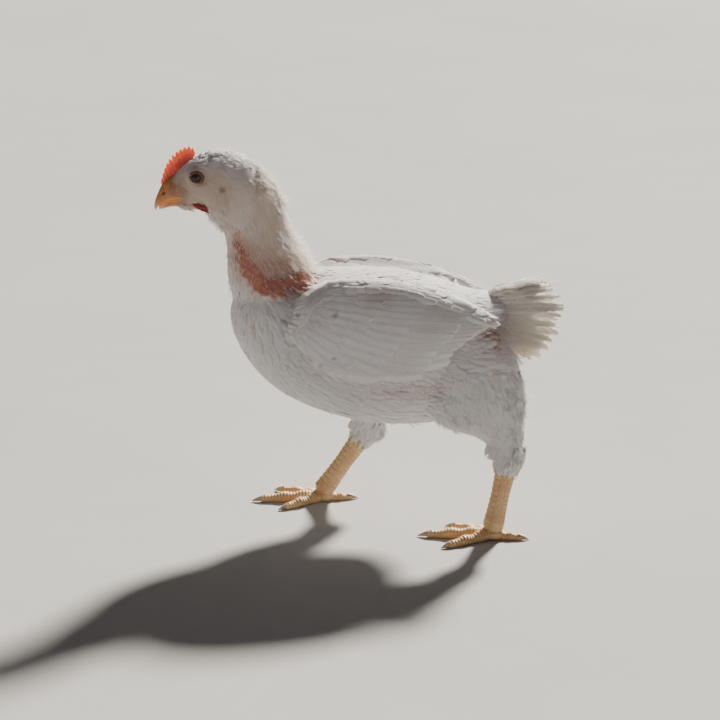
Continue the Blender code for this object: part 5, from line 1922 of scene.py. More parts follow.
    def build(self, shop: Workshop, finish: Material) -> None:
        """Makes the wing.

        Args:
            shop: Makes objects.
            finish: The wing's material.
        """
        rng = np.random.default_rng(self.seed)
        parts = [feather for layer, tier in enumerate(self.tiers) for feather in self._tier(tier, layer, rng)]
        parts += self._edge(rng)
        for feather in parts:
            marks = self.coat.markings.masks(feather.points)
            feather.values.update(marks)
            for key, strength in (("bare", 0.0), ("warm", 0.0), ("blush", 0.5)):
                feather.values[key] = marks[key] * strength
            feather.at[0, 0] = 0.05 + 0.9 * (feather.points[:, 0].mean() + 60 * MM) / (180 * MM)
        self.coat.piece(shop, f"wing_feathers_{self.side.word}", parts, finish, Slot.WING_FEATHERS,
                        (f"wing_{self.side.word}",))


@dataclass
class Tail:
    """The tail: main feathers in a drooping fan, coverts above and soft feathers below."""

    coat: Coat
    seed: int = 12
    root_top: Point = (103, 3, 186)
    root_low: Point = (103, 15, 166)
    # Tips of one side, from the middle pair to the outermost.
    tips: Array = table(
        (145.5, 5, 203), (156, 13, 197), (160.5, 20, 187), (157.5, 25.5, 175), (152.5, 29, 161.5),
        (145, 31, 148))
    turn_top: float = 16.0
    turn_low: float = 64.0
    droop: float = 4 * MM
    shape: FlightFeather = field(default_factory=lambda: FlightFeather(
        stations=20, columns=5, thickness=0.2 * MM, shaft=0.28 * MM, outline=(
            (0.0, 0.1, 0.42, 0.7, 0.85, 0.94, 1.0), (0.3, 0.65, 1.0, 0.86, 0.6, 0.32, 0.05))))
    barbs: int = 40
    barb_length: tuple[float, float] = (3.0, 7.5)
    # Rows of feathers of one side: count, first and last share of the fan, length, half width, lift, ragged.
    rows: tuple[tuple[float, ...], ...] = (
        (12, 0.0, 1.0, 1.0, 6.6, 0.0, 0.35), (12, 0.02, 0.97, 0.92, 5.8, 0.6, 0.42),
        (11, 0.0, 0.92, 0.8, 5.4, 1.2, 0.45), (10, 0.0, 0.86, 0.66, 5.0, 1.9, 0.45),
        (9, 0.0, 0.78, 0.5, 4.6, 2.5, 0.45), (8, 0.0, 0.7, 0.35, 4.2, 3.0, 0.4),
        (10, 0.45, 1.12, 0.85, 5.2, -4.0, 0.5), (9, 0.6, 1.2, 0.64, 4.8, -6.0, 0.5))

    def _feather(self, side: Side, share: float, reach: float, half_width: float, lift: float, ragged: float,
                 rng: Rng) -> Vanes:
        """One feather of the fan.

        Args:
            side: Which half of the fan.
            share: Place in the fan, from the middle pair down.
            reach: Share of the full length.
            half_width: Half width.
            lift: Height over the fan's own surface.
            ragged: How deep its splits are.
            rng: Source of small differences.

        Returns:
            The feather.
        """
        top, low = np.array(self.root_top) * MM, np.array(self.root_low) * MM
        root = top + (low - top) * share
        at = np.clip(share, 0, 1.0) * (len(self.tips) - 1)
        tip = np.array([np.interp(at, range(len(self.tips)), self.tips[:, k]) for k in range(3)])
        tip = tip + (share > 1) * (share - 1) * np.array((-30, -20, -60)) * MM + rng.normal(0, 0.9 * MM, 3)
        run = (tip - root) * reach
        back = run / np.linalg.norm(run)
        turn = math.radians(self.turn_top + (self.turn_low - self.turn_top) * share)
        across = np.array([0, math.cos(turn), -math.sin(turn)])
        across = unit(across - back * (across @ back))
        facing = np.cross(across, back)
        facing *= 1 if facing[2] > 0 else -1
        curve = rng.uniform(1.5, 3.5) * MM

        def place(u: Array, w: Array, h: Array) -> Array:
            """Points of the feather in space."""
            off = h + lift - 0.8 * MM * 5 * share - curve * u**2 * (0.5 + share) - w**2 / (28 * MM)
            p = root + run * u[:, None] + across * w[:, None] + facing * off[:, None]
            p[:, 2] += self.droop * 4 * u * (1 - u) * (1 - 0.6 * share)
            return p * (1, side.value, 1)

        return self.shape.form(place, half_width, rng, ragged)

    def build(self, shop: Workshop, finish: Material, down: Down) -> None:
        """Makes the tail.

        Args:
            shop: Makes objects.
            finish: The tail's material.
            down: Makes the loose strands at the fan's edge.
        """
        rng = np.random.default_rng(self.seed)
        parts = []
        for side in Side:
            for row, (count, first, last, reach, half_width, lift, ragged) in enumerate(self.rows):
                for i in range(int(count)):
                    share = first + (last - first) * i / (count - 1)
                    feather = self._feather(side, share, reach * rng.uniform(0.95, 1.03), half_width * MM,
                                            lift * MM, ragged, rng)
                    feather.values.update(self._marks(len(feather.points), share))
                    feather.at = np.array(
                        [[0.1 + 0.8 * reach, 0.5 + side.value * (0.04 + 0.4 * (row + share) / 9.5)]])
                    parts += [feather, self._loose(feather, share, down, rng)]
        self.coat.piece(shop, "tail_feathers", parts, finish, Slot.WING_FEATHERS, ("tail",))

    def _marks(self, count: int, share: float) -> dict[str, Array]:
        """Masks of the tail's points: it is warmer towards the low end of the fan, a cream tint that is
        partly a painted glow of light through the feathers.
        """
        zero = np.zeros(count)
        warm = 0.06 + 0.5 * float(ease(share, 0.4, 0.9))
        return {"face": zero, "warm": zero + warm, "bare": zero, "blush": zero, "soil": zero}

    def _loose(self, feather: Vanes, share: float, down: Down, rng: Rng) -> Vanes:
        """Loose barbs that stand past the edges and the end of a feather.

        Args:
            feather: The feather.
            share: Its place in the fan.
            down: Makes strands.
            rng: Source of their places.

        Returns:
            The barbs.
        """
        m, c = self.shape.stations, self.shape.columns
        upper = feather.points[: m * c].reshape(m, c, 3)
        station = rng.integers(int(0.3 * m), m - 1, self.barbs)
        edge = rng.choice((0, c - 1), self.barbs)
        start = upper[station, edge] * 0.75 + upper[station, c // 2] * 0.25
        ahead = unit(upper[station + 1, c // 2] - upper[station - 1, c // 2])
        outward = unit(upper[station, edge] - upper[station, c // 2])
        ahead = unit(ahead + outward * rng.uniform(0.1, 0.55, self.barbs)[:, None]
                     + rng.normal(0, 0.13, (self.barbs, 3)))
        upward = unit(np.cross(ahead, outward))
        points, triangles, along, _ = down.strands(
            start, ahead, upward, rng.uniform(*self.barb_length, self.barbs) * MM,
            rng.uniform(-0.4, 0.6, self.barbs), np.full(self.barbs, 0.15 * MM))
        even = np.full(len(points), 0.6)
        values = {"along": 0.6 + 0.4 * along, "across": even, "tone": even, **self._marks(len(points), share)}
        return Vanes(points, triangles, values, np.zeros(len(points), int), feather.at)


@dataclass
class Bill:
    """Upper and lower bill with nostrils and the bright line of the mouth."""

    # x and z of the ridge, x and z on the line of the mouth, half width there.
    upper_rows: Array = table(
        (-141, 288.5, -134, 268.4, 8.6), (-149.6, 283.2, -142.5, 267.6, 7.8),
        (-154.4, 277.4, -148.2, 266.4, 6.6), (-157.6, 271, -152.8, 264.4, 5),
        (-159.9, 264.8, -156.4, 261.7, 3), (-160.5, 260.6, -158.4, 259.4, 1.5),
        (-159.7, 257.3, -159.1, 257.5, 0.6))
    lower_rows: Array = table(
        (-133, 261.5, -132, 267.4, 5.4), (-141, 261, -140.4, 267.5, 6.6), (-148, 260.6, -147.4, 266.4, 5.7),
        (-153, 259.2, -152.4, 264.3, 4.0), (-157.0, 258.4, -156.6, 261.4, 1.6))
    mouth_gap: float = 0.35 * MM
    nostril: Point = (-152.6 * MM, 5.0 * MM, 272.2 * MM)
    nostril_half_length: float = 2.4 * MM
    nostril_half_height: float = 0.8 * MM
    nostril_tilt: float = 40.0
    rings: int = 60
    arc: int = 36

    def _form(self, rows: Array, sink: float, drop: float, lip: float) -> Form:
        """One half of the bill.

        Args:
            rows: Its table.
            sink: How far its inner face is hollowed.
            drop: How far it is lowered.
            lip: How far its cutting edge stands out.

        Returns:
            Its form, with how far out and how near the lip its points are.
        """
        rows = smooth_rows(rows, self.rings, places=5)
        angle = math.pi * np.arange(self.arc + 1) / self.arc
        rings, outer, edge_mask = [], [], []
        for number, (ridge_x, ridge_z, edge_x, edge_z, half) in enumerate(rows):
            ridge, edge = np.array([ridge_x, 0, ridge_z]), np.array([edge_x, 0, edge_z])
            depth = ridge - edge
            keel = np.sin(angle) ** 0.9
            near = np.exp(-(keel / 0.16) ** 2)
            side = half * np.cos(angle) * (1 + lip * near)
            arc = edge + depth * keel[:, None] + side[:, None] * Y
            inner = np.linspace(-0.85, 0.85, 9) * half
            hollow = sink * (1 - (inner / half) ** 2)
            palate = edge + depth * hollow[:, None] + inner[:, None] * Y
            ring = np.vstack([arc, palate])
            ring[:, 2] -= drop
            rings.append(ring)
            outer.append(np.full(len(ring), number / (len(rows) - 1)))
            edge_mask.append(np.concatenate([np.exp(-(keel / 0.13) ** 2), np.ones(9)]))
        form = Form.loft(np.array(rings))
        form.values = {"outer": np.concatenate([*outer, [0.0, 1.0]]),
                       "lip": np.concatenate([*edge_mask, [0.0, 0.0]])}
        return form

    def _nostrils(self, points: Array) -> Array:
        """Sinks the nostrils into the upper bill, under a small flap."""
        turn = math.radians(self.nostril_tilt)
        dx, dz = points[:, 0] - self.nostril[0], points[:, 2] - self.nostril[2]
        u = (dx * math.cos(turn) + dz * math.sin(turn)) / self.nostril_half_length
        v = (-dx * math.sin(turn) + dz * math.cos(turn)) / self.nostril_half_height
        reach = np.hypot(u, v)
        flap = np.exp(-((np.hypot(u, (v - 1.7) / 1.2) - 0.2) / 0.8) ** 2)
        side = np.where(np.abs(points[:, 1]) > 2.5 * MM, np.sign(points[:, 1]), 0)
        moved = points.copy()
        moved[:, 1] += side * (0.45 * MM * flap - 2.2 * MM * (1 - ease(reach, 0.6, 1.15)))
        return moved

    def build(self, shop: Workshop, finish: Material) -> None:
        """Makes both halves.

        Args:
            shop: Makes objects.
            finish: The bill's material.
        """
        upper = self._form(self.upper_rows, 0.12, 0.0, 0.05)
        upper.points = self._nostrils(upper.points)
        lower = self._form(self.lower_rows, 0.1, self.mouth_gap, 0.02)
        for name, form in (("upper", upper), ("lower", lower)):
            obj = shop.raw(f"bill_{name}_horn", form)
            shop.finish(obj, finish, Slot.BILL_HORN, (f"bill_{name}",), 55)


@dataclass
class Comb:
    """The single comb: a thin, saw-edged plate of flesh with a thicker root."""

    # x and z on the skull, x and z at the edge.
    rows: Array = table(
        (-153.9, 277.4, -155.2, 279.6), (-150.6, 281.4, -152.9, 287.9), (-147, 285.2, -150.3, 294),
        (-143, 288.6, -147, 299.4), (-139, 291.9, -142.6, 304), (-135, 294.9, -137.4, 307),
        (-131.6, 297.3, -132.2, 308.6), (-129.6, 299, -128.3, 306), (-128.8, 299.8, -127.4, 301.6))
    points: int = 12
    point_depth: float = 0.17
    root: float = 3.5 * MM
    base_thickness: float = 3.6 * MM
    edge_thickness: float = 1.5 * MM
    columns: int = 241
    levels: int = 22

    def build(self, shop: Workshop, finish: Material) -> None:
        """Makes the comb.

        Args:
            shop: Makes objects.
            finish: The material of red flesh.
        """
        along = smooth_rows(self.rows, self.columns, places=4)
        level = np.sin(np.linspace(0, math.pi / 2, self.levels)) ** 1.15
        rings, outer = [], []
        for i, (base_x, base_z, edge_x, edge_z) in enumerate(along):
            share = i / (self.columns - 1)
            base, edge = np.array([base_x, 0, base_z]), np.array([edge_x, 0, edge_z])
            height = np.linalg.norm(edge - base)
            outwards = (edge - base) / height
            phase = self.points * share + 0.07 * math.sin(9 * share)
            valley = (0.5 + 0.5 * math.cos(2 * math.pi * phase)) ** 2.0
            height *= 1 - (self.point_depth + 0.05 * math.sin(17 * share)) * valley
            lean = 0.5 * MM * math.sin(5 * share + 1) * level**2
            half = np.interp(level, (0, 0.25, 0.85, 1), np.array((
                self.base_thickness, 0.8 * self.base_thickness, self.edge_thickness, 0.1 * MM)) / 2)
            half = half * (1 - 0.22 * valley * level)
            reach = -self.root + (height + self.root) * level
            middle = base + outwards * reach[:, None]
            middle[:, 1] += lean
            sides = [middle + (sign * half)[:, None] * Y for sign in (1, -1)]
            rings.append(np.vstack([sides[0], sides[1][::-1]]))
            outer.append(np.concatenate([level, level[::-1]]))
        form = Form.loft(np.array(rings))
        # How far out each point lies; the finish paints a glow towards the edge from it.
        form.values = {"outer": np.concatenate([*outer, [0.5, 0.5]])}
        bead = ripple(form.points, 1.5 * MM, 2.5) * ease(form.values["outer"], 0.2, 0.6)
        form.points[:, 1] += np.sign(form.points[:, 1]) * 0.1 * MM * bead
        shop.finish(shop.raw("comb_flesh", form), finish, Slot.BARE_SKIN, ("comb",), 70)


def ball(centre: Array, radii: Array, segments: int, rings: int) -> Form:
    """A ball with its poles along Y.

    Args:
        centre: Its middle.
        radii: Its three radii.
        segments: Points of a ring.
        rings: Number of rings.

    Returns:
        The ball.
    """
    polar = np.linspace(0.02, math.pi - 0.02, rings)
    turn = circle(segments)
    made = np.stack([np.sin(polar)[:, None] * np.cos(turn), np.repeat(np.cos(polar)[:, None], segments, 1),
                     np.sin(polar)[:, None] * np.sin(turn)], -1)
    return Form.loft(np.asarray(centre) + made * np.asarray(radii))


@dataclass
class Wattles:
    """Two small wattles below the jaw."""

    centre: Point = (-121.5 * MM, 7.5 * MM, 260.8 * MM)
    radii: Point = (8.6 * MM, 2.1 * MM, 2.7 * MM)
    slope: float = 0.38

    def build(self, shop: Workshop, finish: Material) -> None:
        """Makes both wattles.

        Args:
            shop: Makes objects.
            finish: The material of red flesh.
        """
        for side in Side:
            form = ball(np.array(self.centre) * (1, side.value, 1), self.radii, 56, 40)
            below = np.clip((self.centre[2] - form.points[:, 2]) / self.radii[2], -1, 1)
            form.points[:, 1] += side.value * np.maximum(below, 0) * 1.5 * MM
            form.points[:, 2] -= self.slope * (form.points[:, 0] - self.centre[0])
            form.points += 0.45 * MM * ripple(form.points, 4.5 * MM, 1.0)[:, None] * (0, 0.6 * side.value, 1)
            # The lower half takes the flesh's painted glow at the edge.
            form.values = {"outer": np.clip(below, 0, 1) * 0.5}
            obj = shop.raw(f"wattle_flesh_{side.word}", form)
            shop.finish(obj, finish, Slot.BARE_SKIN, (f"wattle_{side.word}",), 70)


@dataclass
class Eyes:
    """Both eyeballs, with a clear bulge over the iris."""

    centre: Point
    radius: float
    bulge: float = 0.35 * MM
    forward_turn: float = 12.0

    def build(self, shop: Workshop, finish: Material) -> None:
        """Makes both eyes.

        Args:
            shop: Makes objects.
            finish: The eyes' material.
        """
        turn = math.radians(self.forward_turn)
        for side in Side:
            centre = np.array(self.centre) * (1, side.value, 1)
            form = ball((0, 0, 0), (1, 1, 1), 48, 36)
            gaze = np.array([-math.sin(turn), side.value * math.cos(turn), 0.03])
            angle = np.arccos(np.clip(unit(form.points) @ unit(gaze), -1, 1))
            radius = self.radius + self.bulge * np.maximum(1 - (angle / 0.75) ** 2, 0)
            form.points = centre + unit(form.points) * radius[:, None]
            form.values = {"angle": angle}
            obj = shop.raw(f"eyeball_{side.word}", form)
            shop.finish(obj, finish, Slot.EYE_GLASS, (f"eye_{side.word}",), 80)


@dataclass
class Leg:
    """Shank and foot of one side with their scutes, and the claws."""

    side: Side
    hock: Array
    foot: Array
    voxel: float = 0.52 * MM
    # Share of the way down, half depth fore and aft, half width, in millimetres.
    shank_rows: tuple[Point, ...] = (
        (-0.19, 1.2, 1.0), (-0.15, 7.5, 6.5), (-0.04, 11.2, 9.2), (0.1, 10.2, 8.4), (0.24, 7.8, 6.8),
        (0.55, 6.9, 6.2), (0.8, 7.4, 6.8), (1.0, 8.4, 8.0), (1.06, 5.5, 5.0))
    # Heading from straight ahead in degrees, length, radius at root and end, length of the claw.
    toes: dict[str, tuple[float, float, float, float, float]] = field(default_factory=lambda: {
        "hind": (172, 21, 3.6, 2.9, 8.0), "inner": (-36, 37, 4.7, 3.3, 9.0),
        "middle": (-4, 50, 5.2, 3.5, 10.0), "outer": (30, 40, 4.7, 3.3, 8.5)})
    toe_sink: float = 0.9 * MM
    toe_pitch: float = 2.6 * MM
    scute_height: float = 0.9 * MM
    pads: int = 3
    # Bands round the shank: first and last angle from its front, width and pitch of its scutes, height.
    bands: tuple[tuple[float, ...], ...] = (
        (0.0, 1.15, 1.15, 4.6 * MM, 1.0), (1.15, 2.0, 0.283, 2.3 * MM, 0.4),
        (2.0, 3.15, 0.575, 3.5 * MM, 0.65))
    sole: Point = (8.5 * MM, 7.0 * MM, 5.4 * MM)

    def _shank_axis(self) -> tuple[Array, Array, Array]:
        """Hock, direction down the shank and direction to its front."""
        run = self.foot - self.hock
        fore = np.cross(unit(run), Y)
        return self.hock, run, unit(fore * (-1 if fore[0] > 0 else 1))

    def _shank(self) -> Form:
        """The shank as a plain tube."""
        top, run, fore = self._shank_axis()
        rows = np.array(self.shank_rows)
        share = np.linspace(rows[0, 0], rows[-1, 0], 50)
        deep, wide = (column * MM for column in columns_at(rows, share, 1, 2))
        angle = circle(32)
        rings = (top + run * share[:, None])[:, None] + fore * (deep[:, None] * np.cos(angle))[..., None]
        rings = rings + Y * (wide[:, None] * np.sin(angle))[..., None]
        return Form.loft(rings)

    def _toe_axis(self, toe: str, count: int = 40) -> tuple[Array, Array, Array]:
        """Middle line of a toe.

        Args:
            toe: Its name.
            count: Number of places.

        Returns:
            Places, direction and radii.
        """
        heading, length, root, end, _ = self.toes[toe]
        angle = math.radians(heading)
        ahead = np.array([-math.cos(angle), self.side.value * math.sin(angle), 0])
        u = np.linspace(0, 1, count)
        radius = (root + (end - root) * u) * MM * (1 + 0.09 * np.cos(2 * math.pi * self.pads * u))
        radius *= 1 - 0.2 * ease(u, 0.8, 1.0)
        rise = (self.foot[2] - root * MM) * np.maximum(0, 1 - u / 0.28) ** 2 * 0.5
        centre = self.foot * (1, 1, 0) + ahead * (length * MM * u)[:, None]
        centre[:, 2] = radius - self.toe_sink + rise
        return centre, ahead, radius

    def _toe(self, toe: str) -> Form:
        """A toe as a plain tube with a round end."""
        centre, ahead, radius = self._toe_axis(toe)
        across = np.cross(Z, ahead)
        angle = circle(24)
        for share, size in ((0.4, 0.86), (0.75, 0.6), (0.95, 0.26)):
            centre = np.vstack([centre, centre[39] + ahead * radius[39] * share])
            radius = np.append(radius, radius[39] * size)
        ring = across * np.cos(angle)[:, None] + Z * np.sin(angle)[:, None]
        return Form.loft(centre[:, None] + ring[None] * radius[:, None, None])

    def _scutes(self, points: Array, normals: Array) -> tuple[Array, Array]:
        """Raises the scutes of shank and toes.

        Args:
            points: Points of the leg.
            normals: Their normals.

        Returns:
            How far each point moves out, and how much of a seam it is.
        """
        top, run, fore = self._shank_axis()
        length = np.linalg.norm(run)
        down = run / length
        share = ((points - top) @ down) / length
        off = points - top - down * ((points - top) @ down)[:, None]
        angle = np.arctan2(off @ Y * self.side.value, off @ fore)
        fade = ease(share, 0.02, 0.1) * (1 - ease(share, 0.9, 0.95))
        height, seam = np.zeros((2, len(points)))
        for first, last, wide, pitch, tall in self.bands:
            turn = (np.abs(angle) - first) / wide
            column = np.floor(turn)
            phase = (share * length / pitch + 0.5 * (column % 2) + 0.5 * (angle > 0)) % 1.0
            across = np.abs(2 * (turn - column) - 1)
            plate = phase**0.6 * (1 - ease(phase, 0.84, 1.0)) * (1 - across**8)
            gap = np.maximum(np.maximum(1 - ease(phase, 0.0, 0.14), ease(phase, 0.88, 1.0)), across**12)
            mine = (np.abs(angle) >= first) & (np.abs(angle) < last) & (share < 0.93)
            height = np.where(mine, plate * tall * fade, height)
            seam = np.where(mine, gap * fade, seam)
        best = np.full(len(points), 1e9)
        for toe in self.toes:
            centre, ahead, radius = self._toe_axis(toe)
            u = (points - centre[0]) @ ahead
            away = np.linalg.norm((points - centre[0]) - ahead * u[:, None], axis=1) / radius.mean()
            mine = (away < best) & (share >= 0.93) & (u > 0)
            best = np.where(mine, away, best)
            phase = (u / self.toe_pitch) % 1.0
            upper = ease(normals[:, 2], 0.1, 0.45)
            plate = (phase**0.6) * (1 - ease(phase, 0.85, 1.0)) * upper
            height = np.where(mine, plate, height)
            seam = np.where(mine, np.maximum(1 - ease(phase, 0, 0.14), ease(phase, 0.88, 1.0)) * upper, seam)
        return height * self.scute_height, seam

    def build(self, shop: Workshop, scales: Material, horn: Material) -> None:
        """Makes the leg and its claws.

        Args:
            shop: Makes objects.
            scales: The leg's material.
            horn: The claws' material.
        """
        word = self.side.word
        sole = ball(self.foot * (1, 1, 0) + Z * (self.sole[2] - 1 * MM), self.sole, 32, 24)
        forms = [self._shank(), sole, *(self._toe(toe) for toe in self.toes)]
        leg = shop.fused(f"leg_{word}", forms, self.voxel, 3)
        mesh = leg.data
        points, normals = shop.read(mesh)
        move, seam = self._scutes(points, normals)
        points = points + normals * move[:, None]
        points[:, 2] = np.maximum(points[:, 2], 0.0)
        shop.place(mesh, points)
        shop.store(mesh, {"seam": seam})
        mesh.update()
        shop.finish(leg, scales, Slot.LEG_SCALES, (f"shank_{word}", f"foot_{word}"), 80)
        for toe in self.toes:
            self._claw(shop, toe, horn)

    def _claw(self, shop: Workshop, toe: str, horn: Material) -> None:
        """A claw at the end of a toe, curved down and keeled below.

        Args:
            shop: Makes objects.
            toe: The toe's name.
            horn: The claw's material.
        """
        centre, ahead, radius = self._toe_axis(toe)
        length = self.toes[toe][4] * MM
        u = np.linspace(0, 1, 26)
        middle = centre[-1] + ahead * (radius[-1] * (0.1 - 0.5 * (1 - u)) + length * u)[:, None]
        middle[:, 2] += 0.95 * MM - 2.2 * MM * u**2
        share = (1 - u) ** 0.7 + 0.06
        angle = circle(18)
        deep = 2.8 * MM * share
        low = np.minimum(deep, np.maximum(middle[:, 2] - 0.35 * MM, 0.12 * MM))
        depth = np.where(np.sin(angle)[None] > 0, deep[:, None], low[:, None]) * np.sin(angle)
        width = 2.2 * MM * share[:, None] * np.cos(angle) * (1 - 0.25 * np.maximum(-np.sin(angle), 0))
        across = np.cross(Z, ahead)
        form = Form.loft(middle[:, None] + across * width[..., None] + Z * depth[..., None])
        form.values = {"outer": np.concatenate([np.repeat(u, 18), [0.0, 1.0]]), "lip": np.zeros(26 * 18 + 2)}
        obj = shop.raw(f"nail_{self.side.word}_{toe}", form)
        shop.finish(obj, horn, Slot.CLAW_HORN, (f"claw_{self.side.word}_{toe}",), 70)


@dataclass
class Beads:
    """Small raised beads scattered over a surface by Geometry Nodes, such as feather roots on bare skin."""

    name: str
    mask: str
    spacing: float
    radius: float
    density: float
    seed: int
    flatness: float = 0.55

    def _tree(self, finish: Material) -> NodeTree:
        """The tree that scatters the beads.

        Args:
            finish: The beads' material.

        Returns:
            The node tree.
        """
        tree = bpy.data.node_groups.new(self.name, "GeometryNodeTree")
        for label, kind in (("Surface", "Geometry"), ("Spacing", "Float"), ("Radius", "Float"),
                            ("Density", "Float"), ("Seed", "Int")):
            tree.interface.new_socket(label, in_out="INPUT", socket_type=f"NodeSocket{kind}")
        tree.interface.new_socket("Beads", in_out="OUTPUT", socket_type="NodeSocketGeometry")
        graph = Graph(tree)
        given = graph.node("NodeGroupInput").outputs
        mask = graph.node("GeometryNodeInputNamedAttribute", {"Name": self.mask}, data_type="FLOAT")
        scatter = graph.node("GeometryNodeDistributePointsOnFaces", distribute_method="POISSON")
        for name, value in (("Mesh", given["Surface"]), ("Distance Min", given["Spacing"]),
                            ("Density Max", given["Density"]), ("Density Factor", mask.outputs["Attribute"]),
                            ("Seed", given["Seed"])):
            graph.feed(scatter.inputs[name], value)
        bead = graph.node("GeometryNodeMeshIcoSphere", {"Radius": given["Radius"], "Subdivisions": 1})
        vary = graph.node("FunctionNodeRandomValue", data_type="FLOAT")
        sockets = {s.identifier: s for s in vary.inputs}
        for key, value in (("Min_001", 0.6), ("Max_001", 1.25), ("Seed", given["Seed"])):
            graph.feed(sockets[key], value)
        amount = next(s for s in vary.outputs if s.type == "VALUE" and s.enabled)
        flat = graph.times(amount, self.flatness)
        size = graph.node("ShaderNodeCombineXYZ", {"X": amount, "Y": amount, "Z": flat})
        spread = graph.node("GeometryNodeInstanceOnPoints", {
            "Points": scatter.outputs["Points"], "Instance": bead.outputs["Mesh"],
            "Rotation": scatter.outputs["Rotation"], "Scale": size.outputs["Vector"]})
        real = graph.node("GeometryNodeRealizeInstances", {"Geometry": spread.outputs["Instances"]})
        dress = graph.node("GeometryNodeSetMaterial", {"Geometry": real.outputs["Geometry"],
                                                       "Material": finish})
        graph.feed(graph.node("NodeGroupOutput").inputs["Beads"], dress.outputs["Geometry"])
        return tree

    def build(self, shop: Workshop, surface: Object, finish: Material, slot: Slot) -> None:
        """Makes the beads as a piece of their own.

        Args:
            shop: Makes objects.
            surface: What they sit on; its mesh carries the mask.
            finish: Their material.
            slot: The record's slot.
        """
        obj = shop.link(self.name, surface.data.copy())
        tree = self._tree(finish)
        modifier = obj.modifiers.new("beads", "NODES")
        modifier.node_group = tree
        values = {"Spacing": self.spacing, "Radius": self.radius, "Density": self.density, "Seed": self.seed}
        for item in tree.interface.items_tree:
            if item.item_type == "SOCKET" and item.in_out == "INPUT" and item.name in values:
                modifier[item.identifier] = values[item.name]
        shop.apply(obj)
        shop.finish(obj, finish, slot, (), 80)


@dataclass
class Studio:
    """Pale floor, soft lights from behind and in front, and the camera."""

    target: Point = (0.0008, 0.0, 0.1349)
    distance: float = 1.92
    elevation: float = 16.0
    lens: float = 120.0
    # The low light from behind: where it comes from, its strength, its spread in degrees and colour.
    sun: Point = (0.5, 1.0, 0.85)
    sun_strength: float = 12.0
    sun_spread: float = 8.0
    sun_colour: Colour = (1.0, 0.95, 0.86)
    # Place, aim, size, power and colour of each lamp.
    lamps: tuple[tuple, ...] = (
        ("front", (-1.3, -1.9, 0.9), (0, 0, 0.16), 1.8, 2.5, (0.97, 0.90, 0.97)),)
    air: Colour = (0.74, 0.70, 0.72)
    air_strength: float = 0.15
    floor_half: float = 14.0

    def _hang(self, shop: Workshop, data: bpy.types.ID, place: Vector, aim: Vector) -> Object:
        """Puts a lamp or the camera at a place, aimed at another."""
        obj = shop.link(data.name, data)
        obj.location = place
        obj.rotation_euler = (aim - place).to_track_quat("-Z", "Y").to_euler()
        return obj

    def build(self, shop: Workshop, finish: Material) -> None:
        """Makes the floor, the lamps, the air's light and the camera.

        Args:
            shop: Makes objects.
            finish: The floor's material.
        """
        grid = self.floor_half * np.array([(-1, -1, 0), (1, -1, 0), (1, 1, 0), (-1, 1, 0)])
        floor = shop.raw("floor", Form(grid - shop.shift, [(0, 1, 2, 3)]), outward=False)
        floor.data.materials.append(finish)
        for name, place, aim, size, power, colour in self.lamps:
            lamp = bpy.data.lights.new(name, "AREA")
            lamp.shape, lamp.size, lamp.energy, lamp.color = "DISK", size, power, colour
            self._hang(shop, lamp, Vector(place), Vector(aim))
        sun = bpy.data.lights.new("sun", "SUN")
        sun.energy, sun.angle, sun.color = self.sun_strength, math.radians(self.sun_spread), self.sun_colour
        self._hang(shop, sun, Vector(self.sun), Vector((0, 0, 0)))
        world = bpy.data.worlds.new("air")
        world.use_nodes = True
        air = world.node_tree.nodes["Background"].inputs
        air["Color"].default_value, air["Strength"].default_value = (*self.air, 1), self.air_strength
        bpy.context.scene.world = world
        lens = bpy.data.cameras.new("camera")
        lens.lens = self.lens
        lift = math.radians(self.elevation)
        back = Vector((0, -math.cos(lift), math.sin(lift)))
        target = Vector(self.target)
        bpy.context.scene.camera = self._hang(shop, lens, target + back * self.distance, target)


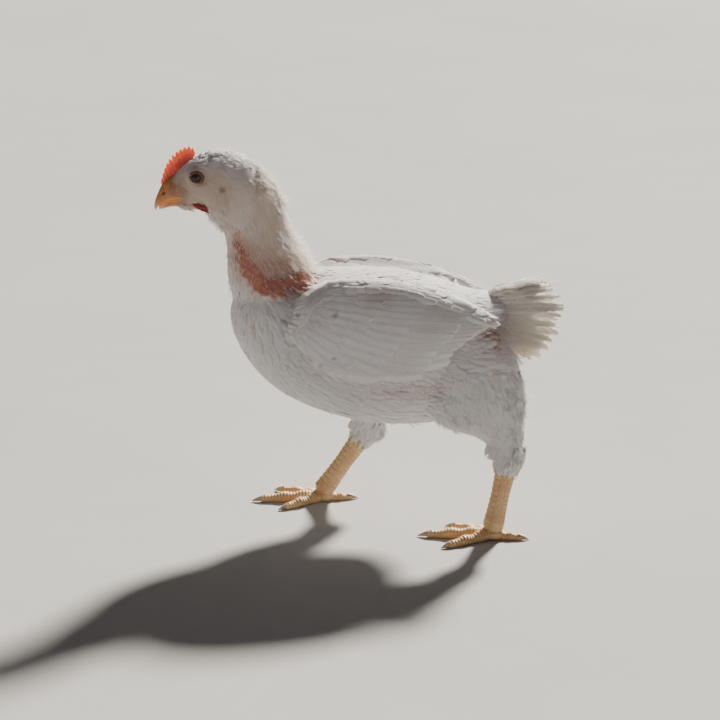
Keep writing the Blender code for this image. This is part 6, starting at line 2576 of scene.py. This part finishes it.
def main() -> None:
    """Builds every piece of the bird in order."""
    logging.basicConfig(level=logging.INFO, format="%(message)s")
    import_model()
    markings = Markings()
    body = Body()
    skin = Skin(body, markings)
    low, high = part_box("eye_left")
    shift = np.array((low + high) / 2) - np.array(skin.eye) * (1, -1, 1)
    shop = Workshop(shift)
    effects = Effects()
    feathers = FeatherFinish("feather").material(effects)
    wing_finish = FeatherFinish("wing_feather", barbs=420.0, sheen=0.2).material(effects)
    # The tail's lighter, creamier colours are partly a painted glow of light through its feathers.
    tail_finish = FeatherFinish("tail_feather", light=(0.93, 0.89, 0.82), dark=(0.87, 0.82, 0.75),
                                warm=(0.86, 0.72, 0.50), barbs=300.0, depth=2 * MM).material(effects)
    down_finish = FeatherFinish("down_feather", light=(0.92, 0.90, 0.87), dark=(0.88, 0.85, 0.82),
                                root=(0.88, 0.84, 0.80), sheen=0.5, glow=0.85, depth=1 * MM).material(effects)
    skin_finish = SkinFinish().material(effects)
    comb_finish = FleshFinish("comb_flesh").material(effects)
    # The wattles' edge colour is a painted glow towards their lower part.
    wattle_finish = FleshFinish("wattle_flesh", base=(0.33, 0.045, 0.045), deep=(0.22, 0.028, 0.03),
                                edge=(0.40, 0.06, 0.05), glow=0.3).material(effects)
    bill_finish = HornFinish("bill").material(effects)
    claw_finish = HornFinish("claw", base=(0.62, 0.50, 0.36), dark=(0.42, 0.32, 0.22), tip=(0.70, 0.62, 0.50),
                             edge=(0.62, 0.50, 0.36)).material(effects)
    scale_finish = ScaleFinish().material(effects)

    surface = skin.build(shop)
    shop.finish(surface, skin_finish, Slot.FEATHERS,
                ("head", "neck", "torso", "thigh_left", "thigh_right"), 80)
    for beads in (Beads("feather_roots", "bare", 1.5 * MM, 0.42 * MM, 6e5, 5),
                  Beads("lid_beads", "lid", 0.8 * MM, 0.2 * MM, 2e6, 6)):
        beads.build(shop, surface, skin_finish, Slot.BARE_SKIN)
    coat = Coat(skin, CoatPlan(), markings)
    coat.build(shop, feathers)
    down = Down(skin, coat)
    down.build(shop, down_finish)
    for side in Side:
        Wing(side, skin, coat).build(shop, wing_finish)
    Tail(coat).build(shop, tail_finish, down)
    Bill().build(shop, bill_finish)
    Comb().build(shop, comb_finish)
    Wattles().build(shop, wattle_finish)
    Eyes(skin.eye, skin.eye_radius).build(shop, EyeFinish().material(effects))
    for side in Side:
        Leg(side, *body.legs[side]).build(shop, scale_finish, claw_finish)
    Studio().build(shop, FloorFinish().material(effects))


if __name__ == "__main__":
    main()
